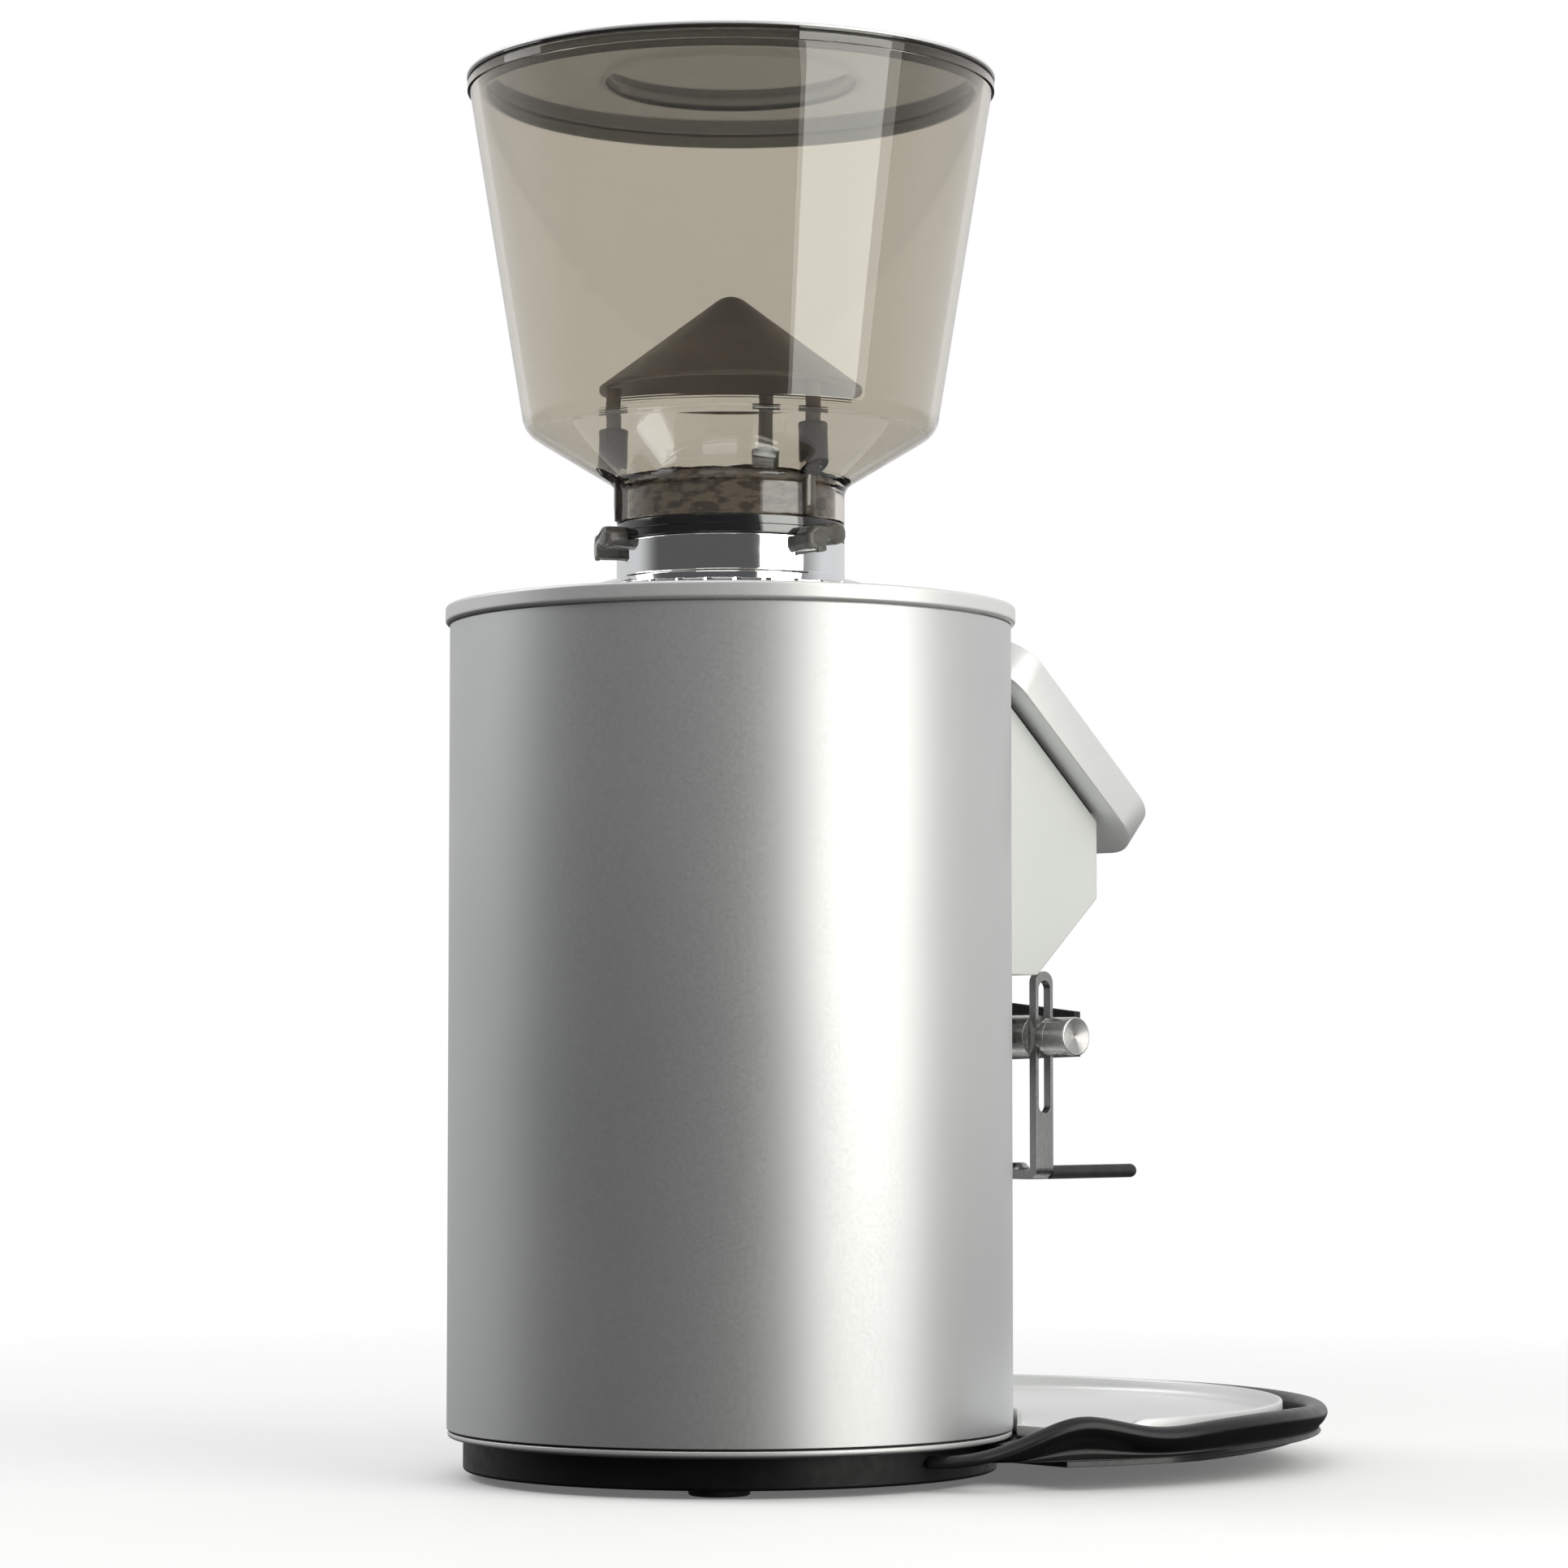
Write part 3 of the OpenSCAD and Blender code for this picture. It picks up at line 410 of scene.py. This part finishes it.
def make_piece(name, bm, finish, body, stands_for=(), sharp=35):
    bmesh.ops.remove_doubles(bm, verts=bm.verts, dist=1e-6)
    bmesh.ops.recalc_face_normals(bm, faces=bm.faces)
    for face in bm.faces:
        face.smooth = True
    for edge in bm.edges:
        if len(edge.link_faces) == 2 and edge.calc_face_angle(0) > math.radians(sharp):
            edge.smooth = False
    mesh = bpy.data.meshes.new(name)
    bm.to_mesh(mesh)
    bm.free()
    mesh.materials.append(FINISH[finish])
    piece = bpy.data.objects.new(name, mesh)
    bpy.context.scene.collection.objects.link(piece)
    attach(piece, body)
    if stands_for:
        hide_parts(*stands_for)
    return piece


def eased(name, radius, finish, body, steps=4, sharp=40):
    """The CAD node again, with its sharp edges really rounded."""
    bm = bmesh.new()
    bm.from_mesh(node[name].data)
    bmesh.ops.remove_doubles(bm, verts=bm.verts, dist=2e-6)
    bmesh.ops.dissolve_limit(bm, angle_limit=math.radians(1), verts=bm.verts, edges=bm.edges)
    edges = [e for e in bm.edges if len(e.link_faces) == 2 and e.calc_face_angle(0) > math.radians(sharp)]
    bmesh.ops.bevel(bm, geom=edges, offset=radius * MM, segments=steps, profile=0.5, affect="EDGES",
                    clamp_overlap=True)
    return make_piece(name + "_eased", bm, finish, body, (name,))


def around(angle, radius, height):
    """A point in millimetres at an angle round the body, 0 at the front."""
    a = math.radians(angle)
    return Vector((radius * math.sin(a), -radius * math.cos(a), height))


def ease(x, start, end):
    t = min(1.0, max(0.0, (x - start) / (end - start)))
    return t * t * (3 - 2 * t)


def bell(x, middle, width):
    return math.exp(-((x - middle) / width) ** 2)


# ---------------------------------------------------------------- tray holder's rim

TRAY_CENTRE = Vector((0, -95, 0))
RIM_R = 134                          # the bead's middle, from the tray's centre
RIM_TOP = 20.6
RIM_LOW = 9.6
RIM_END = 136                        # how far round the rim reaches, in degrees from the front
BEAD_OUT, BEAD_UP = 3.9, 3.4         # the bead's half width and half height
TRAY_R = 122.3
TRAY_HUG_R = 96.4                    # where the tray curves round the body
TRAY_BACK = -62                      # the tray's straight rear edges
TRAY_TOP, TRAY_FLOOR, TRAY_UNDER = 21.6, 16.2, 13.4
TRAY_STEPS = 150


def rim_section(angle):
    """The rim's outline at an angle round the tray: a round bead over a hollowed skirt."""
    a = abs(angle)
    ring = RIM_R - 9 * ease(a, 126, 137)      # the ends sink into the base's wall
    top = (RIM_TOP + 1.3 * bell(a, 76, 18) - 1.3 * bell(a, 100, 8) + 3.6 * bell(a, 113.5, 8)
           - 9.2 * ease(a, 112, 134))
    low = RIM_LOW + 2.2 * (1 - ease(a, 0, 110)) + 0.2 * ease(a, 120, 134)
    deep = max(0.6, min(7.2, top - low - 0.6))
    waist = top - deep
    hollow = 2.6 * bell(a, 108, 14) + 0.5
    bead = [(ring + BEAD_OUT * math.sin(t), top - BEAD_UP + BEAD_UP * math.cos(t))
            for t in (math.radians(k) for k in range(-64, 110, 12))]
    return bead + [(ring + 2.6, waist + 0.8), (ring + 1.6 - hollow * 0.4, waist - 0.2),
                   (ring + 1.3 - hollow, low * 0.35 + waist * 0.65),
                   (ring + 1.2 - hollow, low * 0.7 + waist * 0.3), (ring + 1.7 - hollow * 0.4, low + 0.5),
                   (ring + 1.8, low), (ring - 3.6, low), (ring - BEAD_OUT, low + 0.4)]


def tray_bumper():
    bm = bmesh.new()
    rows = []
    for k in range(-RIM_END, RIM_END + 1):
        turn = math.radians(k)
        rows.append([TRAY_CENTRE + Vector((r * math.sin(turn), -r * math.cos(turn), z))
                     for r, z in rim_section(k)])
    skin(bm, rows, caps=True)
    piece = make_piece("tray_bumper", bm, "rim_black", "chassis", ("tray_rim",), sharp=50)
    smooth = piece.modifiers.new("smooth", "SUBSURF")
    smooth.levels = smooth.render_levels = 1
    return piece


def tray_outline(inset):
    """The tray's crescent outline, moved inwards."""
    outer, inner, edge = TRAY_R - inset, TRAY_HUG_R + inset, TRAY_BACK - inset
    reach = math.acos((edge - TRAY_CENTRE.y) / outer)
    hug = math.acos(-edge / inner)
    front = [TRAY_CENTRE + Vector((outer * math.sin(t), outer * math.cos(t), 0))
             for t in (reach + (2 * math.pi - 2 * reach) * i / TRAY_STEPS for i in range(TRAY_STEPS + 1))]
    back = [Vector((-inner * math.sin(t), -inner * math.cos(t), 0))
            for t in (hug - 2 * hug * i / TRAY_STEPS for i in range(TRAY_STEPS + 1))]
    return front + back


def tray_insert():
    """A pressed tray: a rolled edge, a wall and a floor that run into each other."""
    bm = bmesh.new()
    top, floor, under = TRAY_TOP, TRAY_FLOOR, TRAY_UNDER
    profile = [(1.6, under), (0.5, under + 0.15), (0.05, under + 0.6), (0, under + 1.2), (0, top - 0.7),
               (0.25, top - 0.2), (0.75, top), (1.25, top - 0.2), (1.5, top - 0.7), (1.55, floor + 2.6),
               (1.75, floor + 1.6), (2.3, floor + 0.8), (3.2, floor + 0.25), (4.4, floor + 0.05),
               (5.5, floor)]
    rear_lip = 1.2                   # how far the rear edge stands over the floor
    rows = []
    for inset, z in profile:
        row = []
        for p in tray_outline(inset):
            limit = top - (top - floor - rear_lip) * ease(p.y, -74, -64)
            row.append(p + Vector((0, 0, min(z, limit))))
        rows.append(row)
    skin(bm, rows, caps=True)
    return make_piece("tray_insert", bm, "bright_aluminium", "drip_tray", ("drip_tray",),
                      sharp=60)


def hole_shade_disc():
    """A small flat black disc near the tray's front: painted shade for a small hole."""
    bm = bmesh.new()
    radius, thick = 1.3, 0.12
    turned(bm, rounded([(0, 0, 0), (radius, 0, 0), (radius, thick, 0.08), (0, thick, 0)], 2), 32,
           Matrix.Translation((0, -205, 14.55)))
    make_piece("hole_shade_disc", bm, "matte_black", "drip_tray")


# ---------------------------------------------------------------- neck, lugs and ribs

BAND_IN, BAND_OUT = 35.7, 38.7       # the lock ring's radii
BAND_LOW, BAND_TOP = 313.8, 319.9


def lock_band():
    """The black lock ring under the hopper, with a fine line round its middle."""
    line = 316.75
    bm = bmesh.new()
    turned(bm, rounded([(BAND_IN, BAND_LOW, 0.2), (BAND_OUT, BAND_LOW, 0.35), (BAND_OUT, line - 0.15, 0),
                        (BAND_OUT - 0.15, line, 0), (BAND_OUT, line + 0.15, 0), (BAND_OUT, BAND_TOP, 0.35),
                        (BAND_IN, BAND_TOP, 0.2)], 4))
    make_piece("lock_band", bm, "gloss_black", "lock_ring", ("lock_ring",))


def carrier_washers():
    """A stack of wave washers, in place of the carrier's springs."""
    low, high, count = 280.0, 288.8, 5
    inner, outer, half_thick, wave = 34.6, 35.7, 0.2, 0.6
    pitch = (high - low) / count
    bm = bmesh.new()
    for k in range(count):
        rows = []
        for i in range(180):
            turn = 2 * math.pi * i / 180
            height = low + pitch * (k + 0.5) + wave * math.sin(6 * turn + math.pi * k)
            rows.append([Vector((r * math.cos(turn), r * math.sin(turn), height + lift))
                         for r, lift in ((inner, -half_thick), (outer, -half_thick), (outer, half_thick),
                                         (inner, half_thick))])
        skin(bm, rows, wrap_rows=True)
    piece = make_piece("carrier_washers", bm, "tool_steel", "chassis", ("carrier_springs",),
                       sharp=60)
    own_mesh(piece)


def gap_shade_ring():
    """A dark ring, in the rubber finish, in the gap between the lip ring and the body: painted shade for the
    gap.
    """
    inner, outer, low, high = 92.8, 94.0, 15.45, 16.15
    bm = bmesh.new()
    turned(bm, rounded([(inner, low, 0), (outer, low, 0.1), (outer, high, 0.1), (inner, high, 0)], 2), 192)
    make_piece("gap_shade_ring", bm, "rubber", "chassis")


def lid_highlight_band():
    """A thin bright ring round the lid's edge: a painted highlight where the lid's edge catches the light.
    """
    low, outer = 472.5, 90.1
    bm = bmesh.new()
    turned(bm, rounded([(outer - 0.5, low, 0.1), (outer, low, 0.2), (outer, low + 1.0, 0.4),
                        (outer - 0.9, low + 1.25, 0.1)], 3), 192)
    make_piece("lid_highlight_band", bm, "bright_aluminium", "lid")


# a lug's face, as distance round the ring and height
LUG = rounded([(-1.4, 307.7, 0.3), (-1.4, 310.4, 1.6), (-3.1, 309.0, 0.8), (-4.7, 307.8, 0.5),
               (-6.5, 309.8, 1.5), (-6.6, 313.2, 3), (-3.6, 316.4, 3), (1.6, 316.2, 2), (6.2, 318.2, 3),
               (10.9, 317.6, 3.4), (10.9, 311.6, 3), (6.6, 310.4, 2.4), (3.2, 312.0, 2), (1.5, 311.0, 0.8),
               (1.5, 307.7, 0.3)], 7)
LUG_ANGLES = (-90, 30, 150)
LUG_R = 43                           # where the face's distances are true
LEG_R = 40.4                         # the deflector's legs, from the axis
RIB_R = 40


def bayonet_lug(index, angle):
    """A moulded lug: a bar with one hooked and one bulbous end, on a short stalk."""
    bm = bmesh.new()
    rows = []
    for radius, inset in ((38.2, 0), (44.6, 0), (45.5, 0.16), (46.15, 0.5), (46.5, 1.0)):
        outline = [Vector(p) for p in LUG]
        ring = []
        for k, p in enumerate(outline):
            along = (outline[(k + 1) % len(outline)] - outline[k - 1]).normalized()
            x, z = p + Vector((-along.y, along.x)) * -inset
            ring.append(around(angle + math.degrees(x / LUG_R), radius, z))
        rows.append(ring)
    skin(bm, rows, caps=True)
    piece = make_piece("bayonet_lug_%d" % index, bm, "smoked_lug", "lock_ring", sharp=60)
    melt = piece.modifiers.new("melt", "REMESH")
    melt.mode = "VOXEL"
    melt.voxel_size = 0.3 * MM
    melt.use_smooth_shade = True
    soften = piece.modifiers.new("soften", "SMOOTH")
    soften.iterations = 4
    soften.factor = 0.5


def neck_rib(index, angle):
    """A rib on the hopper's neck, above its lug."""
    bm = bmesh.new()
    rows = []
    for z, out, half in ((320.4, 39.2, 1.6), (320.8, 39.9, 2.4), (326, 40.1, 2.6), (332, 40.1, 2.6),
                         (336, 40.8, 2.6), (338.5, 42.6, 2.2), (339.4, 43.2, 1.2)):
        inner = min(out - 1.2, 37.6 + max(0.0, z - 332) * 0.9)    # follows the neck's own flare
        rows.append([around(angle + math.degrees(x / RIB_R), r, z) for x, r in (
            (-half, inner), (-half, out - 0.7), (-half * 0.6, out), (half * 0.6, out), (half, out - 0.7),
            (half, inner))])
    skin(bm, rows, caps=True)
    make_piece("neck_rib_%d" % index, bm, "dark_smoked", "hopper", sharp=60)


def leg_socket(index, angle):
    """A dark sleeve round the lower end of a deflector leg, standing on the hopper's own socket."""
    bm = bmesh.new()
    bore, wall, shelf, foot = 2.75, 4.75, 349.2, 339.6
    outline = [(bore, shelf, 0.2), (bore, 352.4, 0.3), (3.6, 352.9, 0.5), (4.95, 352.4, 0.8),
               (4.95, 350.4, 0.4), (4.8, 350.0, 0.3), (4.85, 340.2, 0.4), (wall, foot, 0), (wall, shelf, 0)]
    turned(bm, rounded(outline, 4), 40, Matrix.Translation(around(angle, LEG_R, 0)))
    make_piece("leg_socket_%d" % index, bm, "dark_smoked", "hopper", sharp=50)


def neck_grounds():
    """A line of grounds caught along the top of the neck insert."""
    random = seeded(7)
    edge = 336.45                    # the insert's top
    bm = bmesh.new()
    for k in range(520):
        angle = 360 * random()
        heap = 0.35 + 0.65 * (0.5 + 0.5 * math.sin(math.radians(angle * 3 + 40))) ** 2
        size = (0.22 + 0.4 * random()) * heap
        place = around(angle, 33.6 + 1.7 * random(), 336.5 + size * 0.6 + 0.5 * random() * heap)
        turn = Matrix.Rotation(6.28 * random(), 4, Vector((random(), random(), random() + 0.1)).normalized())
        squeeze = Matrix.Diagonal((1, 0.7, 0.55 + 0.4 * random(), 1))
        bmesh.ops.create_icosphere(bm, subdivisions=1, radius=size * MM,
                                   matrix=Matrix.Translation(place * MM) @ turn @ squeeze)
    bead = [(33.2, edge), (35.3, edge), (35.45, 336.9), (35.1, 337.5), (34.3, 337.7), (33.5, 337.3)]
    rows = []
    for k in range(180):
        lift = 0.75 + 0.35 * math.sin(k * 0.41) * math.sin(k * 0.137 + 1) + 0.25 * random()
        rows.append([around(2 * k, r, edge + (z - edge) * lift) for r, z in bead])
    skin(bm, rows, wrap_rows=True)
    make_piece("neck_grounds", bm, "grounds", "hopper", sharp=80)


def seeded(state):
    """Repeatable numbers from 0 to 1."""
    def draw():
        nonlocal state
        state = (state * 1103515245 + 12345) % 2147483648
        return state / 2147483648
    return draw


# ---------------------------------------------------------------- knobs

ROD_Y, ROD_Z = -118.6, 147.1         # the cross rod's line
KNOB_HEAD, KNOB_END = 35.32, 48.32   # the knob's barrel, outwards along the rod


def clamp_knob(side):
    """A turned knob: a screw, a straight barrel with a fine groove, and a dished end with tool lines."""
    name = "knob_right" if side > 0 else "knob_left"
    head, end = KNOB_HEAD, KNOB_END
    screw, tip, barrel, rim = 2.45, 13.6, 6.85, 6.2
    outline = [(0, tip), (screw - 0.35, tip), (screw, tip + 0.4), (screw, head)]
    outline += rounded([(screw, head, 0), (rim, head, 0.2), (barrel, head + 0.6, 0.3),
                        (barrel, head + 3.0, 0), (barrel - 0.15, head + 3.15, 0), (barrel, head + 3.3, 0),
                        (barrel, end, 0.55), (rim, end, 0)], 5)
    face, line = rim, 0.12           # half the spacing of the tool lines
    while face > 0.25:
        rise = end - 0.05 - (rim - face) * 0.14
        outline += [(face, rise), (face - line, rise - 0.055)]
        face -= 2 * line
    outline.append((0, end - 0.9))
    bm = bmesh.new()
    place = Matrix.Translation((0, ROD_Y, ROD_Z)) @ Matrix.Rotation(math.radians(90 * side), 4, "Y")
    turned(bm, outline, 96, place)
    make_piece(name + "_turned", bm, "turned_steel", name, (name,), sharp=28)


# ---------------------------------------------------------------- display face

SLOPE = math.radians(41.6)
FACE_OUT = 270.1                     # the case's upper face, along the slope's normal
GLASS_OUT = FACE_OUT - 0.1
BAR_THICK = 0.02
READOUT_UP = 79                      # the digits' middle, up the slope
SEGMENT_ACROSS, SEGMENT_UP = 7.4, 6.4
STATUS_X, STATUS_STEP = (-24, 25), 4.2
KEYS_X, KEYS_UP = (-20, 0, 20), 45


def on_face(x, along, out):
    """A point on the display: across, up the slope, and out of it."""
    return Vector((x, along * math.cos(SLOPE) - out * math.sin(SLOPE),
                   along * math.sin(SLOPE) + out * math.cos(SLOPE)))


def face_bar(bm, x, along, width, height):
    """A thin bar with cut corners on the display's glass."""
    w, h = width / 2, height / 2
    c = min(w, h) * 0.8
    flat = [(-w, -h + c), (-w + c, -h), (w - c, -h), (w, -h + c), (w, h - c), (w - c, h), (-w + c, h),
            (-w, h - c)]
    skin(bm, [[on_face(x + u, along + v, GLASS_OUT + lift) for u, v in flat] for lift in (0, BAR_THICK)],
         caps=True)


# each segment's place from the digit's middle, and whether it lies flat
SEGMENTS = {"top": (0, 1, 1), "middle": (0, 0, 1), "low": (0, -1, 1), "left_up": (-0.5, 0.5, 0),
            "right_up": (0.5, 0.5, 0), "left_down": (-0.5, -0.5, 0), "right_down": (0.5, -0.5, 0)}
DIGITS = {0: ("top", "low", "left_up", "right_up", "left_down", "right_down"),
          1: ("right_up", "right_down"), 8: tuple(SEGMENTS)}


def display_digits():
    """Lit segments on the glass that read 18.0, with unlit ones, and a column of bars at each side."""
    lit, dim = bmesh.new(), bmesh.new()
    for x, digit in ((-12, 1), (0, 8), (15, 0)):
        for name, (across, up, flat) in SEGMENTS.items():
            target = lit if name in DIGITS[digit] else dim
            size = (5.6, 1.1) if flat else (1.1, 5.4)
            face_bar(target, x + across * SEGMENT_ACROSS, READOUT_UP + up * SEGMENT_UP, *size)
    face_bar(lit, 7.5, READOUT_UP - SEGMENT_UP, 1.3, 1.3)
    for k in range(5):
        face_bar(lit if k < 3 else dim, STATUS_X[0], 70 + STATUS_STEP * k, 3.2, 2.6)
        face_bar(dim, STATUS_X[1], 70 + STATUS_STEP * k, 3.2, 1.4)
    make_piece("display_lit", lit, "lit_segments", "chassis")
    make_piece("display_dim", dim, "dim_segments", "chassis")


def key_marks():
    """Simple raised marks on the keys: one cup, two cups, a hand-run ring."""
    top, proud = FACE_OUT + 0.4, 0.3        # from inside the key's dished top to just above it
    for index, x in enumerate(KEYS_X):
        bm = bmesh.new()
        cups = ((0,), (-1.6, 1.6), ())[index]
        for c in cups:
            skin(bm, [[on_face(x + c + u, KEYS_UP + v, top + lift) for u, v in (
                (-0.7, -1.3), (0.7, -1.3), (1.15, 0.9), (-1.15, 0.9))] for lift in (0, proud)], caps=True)
        if not cups:
            rows = []
            for k in range(36):
                t = 2 * math.pi * k / 36
                rows.append([on_face(x + r * math.cos(t), KEYS_UP + r * math.sin(t), top + lift)
                             for r, lift in ((1.5, 0), (2.0, 0), (2.0, proud), (1.5, proud))])
            skin(bm, rows, wrap_rows=True)
        make_piece("key_mark_%d" % (index + 1), bm, "matte_black", "key_%d" % (index + 1))


tray_bumper()
tray_insert()
hole_shade_disc()
lock_band()
carrier_washers()
gap_shade_ring()
lid_highlight_band()
for index, angle in enumerate(LUG_ANGLES):
    bayonet_lug(index + 1, angle)
    neck_rib(index + 1, angle)
    leg_socket(index + 1, angle)
neck_grounds()
clamp_knob(-1)
clamp_knob(1)
display_digits()
key_marks()
eased("display_case", 1.2, "bright_aluminium", "chassis")
eased("front_housing", 1.0, "housing_paint", "chassis", steps=3)


# ---------------------------------------------------------------- stage, light and camera

VIEW_TURN = math.radians(43)      # how far the front points away from the picture's right
AWAY = Vector((math.cos(VIEW_TURN), -math.sin(VIEW_TURN), 0))
RIGHT = Vector((-math.sin(VIEW_TURN), -math.cos(VIEW_TURN), 0))
UP = Vector((0, 0, 1))


# the camera, in metres from the body's axis at the counter, and its upward tilt in degrees
CAMERA_SIDE, CAMERA_BACK, CAMERA_UP = 0.0181, 1.568, 0.1369
CAMERA_PITCH = math.radians(3.48)
CAMERA_LENS, CAMERA_SENSOR = 106.5, 36


def make_camera():
    camera = bpy.data.objects.new("camera", bpy.data.cameras.new("camera"))
    bpy.context.scene.collection.objects.link(camera)
    camera.data.lens = CAMERA_LENS
    camera.data.sensor_width = CAMERA_SENSOR
    camera.data.clip_end = 50
    camera.location = RIGHT * CAMERA_SIDE - AWAY * CAMERA_BACK + UP * CAMERA_UP
    look = AWAY * math.cos(CAMERA_PITCH) + UP * math.sin(CAMERA_PITCH)
    camera.rotation_euler = look.to_track_quat("-Z", "Y").to_euler()
    bpy.context.scene.camera = camera


# strengths of the surroundings
SKY = {"front_left": 0.10, "front_right": 0.3, "behind_left": 0.66, "behind_right": 0.74, "above": 0.7,
       "below": 0.04}
# each lamp's radiance, its angle, distance and height, its size, and its colour; the last one is just
# behind the first, as two lamps in one place don't add up
LAMPS = {"right_softbox": (2.4, (54, 1.5, 0.6), (1.35, 1.7), (1, 0.985, 0.93)),
         "high_left": (2.5, (-100, 1.3, 1.2), (0.7, 1.2), (1, 1, 1)),
         "high_front": (1.5, (-15, 1.3, 1.5), (1.2, 0.8), (1, 1, 1)),
         "hopper_softbox": (5.0, (52, 1.6, 0.6), (1.15, 1.8), (0.98, 1, 0.93))}
LAMP_TARGET = Vector((0, 0, 0.3))
GLINT_ON = ("hopper_", "neck_", "lock_band", "adjusting")


def round_view(angle, distance, height):
    """A place at an angle from the camera's side, positive towards the picture's right."""
    turn = math.radians(angle)
    return (-AWAY * math.cos(turn) + RIGHT * math.sin(turn)) * distance + UP * height


def make_lamp(name):
    radiance, place, size, color = LAMPS[name]
    data = bpy.data.lights.new(name, "AREA")
    data.shape = "RECTANGLE"
    data.size, data.size_y = size
    data.energy = radiance * math.pi * size[0] * size[1]
    data.color = color
    lamp = bpy.data.objects.new(name, data)
    bpy.context.scene.collection.objects.link(lamp)
    lamp.location = round_view(*place)
    lamp.rotation_euler = (LAMP_TARGET - lamp.location).to_track_quat("-Z", "Y").to_euler()
    lamp.visible_camera = lamp.visible_transmission = False
    return lamp


def make_lamps():
    """Three softboxes, and a fourth for the clear plastic and the bright metal under it alone."""
    lamps = {name: make_lamp(name) for name in LAMPS}
    shiny = bpy.data.collections.new("shiny")
    for piece in bpy.context.scene.objects:
        if piece.type == "MESH" and piece.name.startswith(GLINT_ON):
            shiny.objects.link(piece)
    lamps["hopper_softbox"].light_linking.receiver_collection = shiny


def make_world():
    """A studio that is white to look at, but in reflections is darker on the picture's near side."""
    world = bpy.data.worlds.new("studio")
    bpy.context.scene.world = world
    world.use_nodes = True
    tree = world.node_tree
    back = tree.nodes["Background"]
    place = tree.nodes.new("ShaderNodeTexCoord").outputs["Generated"]

    def along(direction, start, end, low, high):
        facing = tree.nodes.new("ShaderNodeVectorMath")
        facing.operation = "DOT_PRODUCT"
        facing.inputs[1].default_value = direction
        tree.links.new(place, facing.inputs[0])
        ramp = tree.nodes.new("ShaderNodeMapRange")
        ramp.interpolation_type = "SMOOTHSTEP"
        for key, value in (("From Min", start), ("From Max", end), ("To Min", low), ("To Max", high)):
            ramp.inputs[key].default_value = value
        tree.links.new(facing.outputs["Value"], ramp.inputs["Value"])
        return ramp.outputs["Result"]

    def blend(fac, a, b):
        mix = tree.nodes.new("ShaderNodeMix")
        for socket, value in ((mix.inputs[0], fac), (mix.inputs[2], a), (mix.inputs[3], b)):
            if isinstance(value, bpy.types.NodeSocket):
                tree.links.new(value, socket)
            else:
                socket.default_value = value
        return mix.outputs[0]

    behind = along(RIGHT, -0.5, 0.5, SKY["behind_left"], SKY["behind_right"])
    front = along(RIGHT, 0.35, 0.75, SKY["front_left"], SKY["front_right"])
    sides = blend(along(AWAY, -0.25, 0.35, 0, 1), front, behind)
    lower = blend(along(UP, -0.2, 0.02, 1, 0), sides, SKY["below"])
    whole = blend(along(UP, 0.5, 0.9, 0, 1), lower, SKY["above"])
    path = tree.nodes.new("ShaderNodeLightPath")
    seen = blend(path.outputs["Is Camera Ray"], path.outputs["Is Transmission Ray"], 1.0)
    tree.links.new(blend(seen, whole, 1.0), back.inputs["Strength"])
    back.inputs["Color"].default_value = (1, 1, 1, 1)


def make_floor():
    """A pale disc just under the feet, which fades into the white surroundings."""
    radius, drop, fade_from, fade_to, glow = 1.2, 0.0002, 0.25, 0.9, 0.13
    mesh = bpy.data.meshes.new("floor")
    edge = bmesh.new()
    bmesh.ops.create_circle(edge, cap_ends=True, segments=96, radius=radius)
    edge.to_mesh(mesh)
    edge.free()
    floor = bpy.data.objects.new("floor", mesh)
    floor.location.z = -drop
    bpy.context.scene.collection.objects.link(floor)
    f = Finish("floor_paint", (0.92, 0.92, 0.92), 0.6, emission_strength=glow)
    f.shader.inputs["Emission Color"].default_value = (1, 1, 1, 1)
    f.shader.inputs["Specular IOR Level"].default_value = 0.1
    f.tint((0.91, 0.91, 0.91), (0.93, 0.93, 0.93), 3)
    reach = f.add("VectorMath", {0: f.coords()}, operation="LENGTH").outputs["Value"]
    f.set("Alpha", f.remap(reach, 1.0, 0.0, fade_from, fade_to))
    floor.data.materials.append(f.material)
    floor.visible_glossy = floor.visible_diffuse = False


make_camera()
make_world()
make_floor()
make_lamps()
bpy.context.scene.view_settings.view_transform = "Standard"
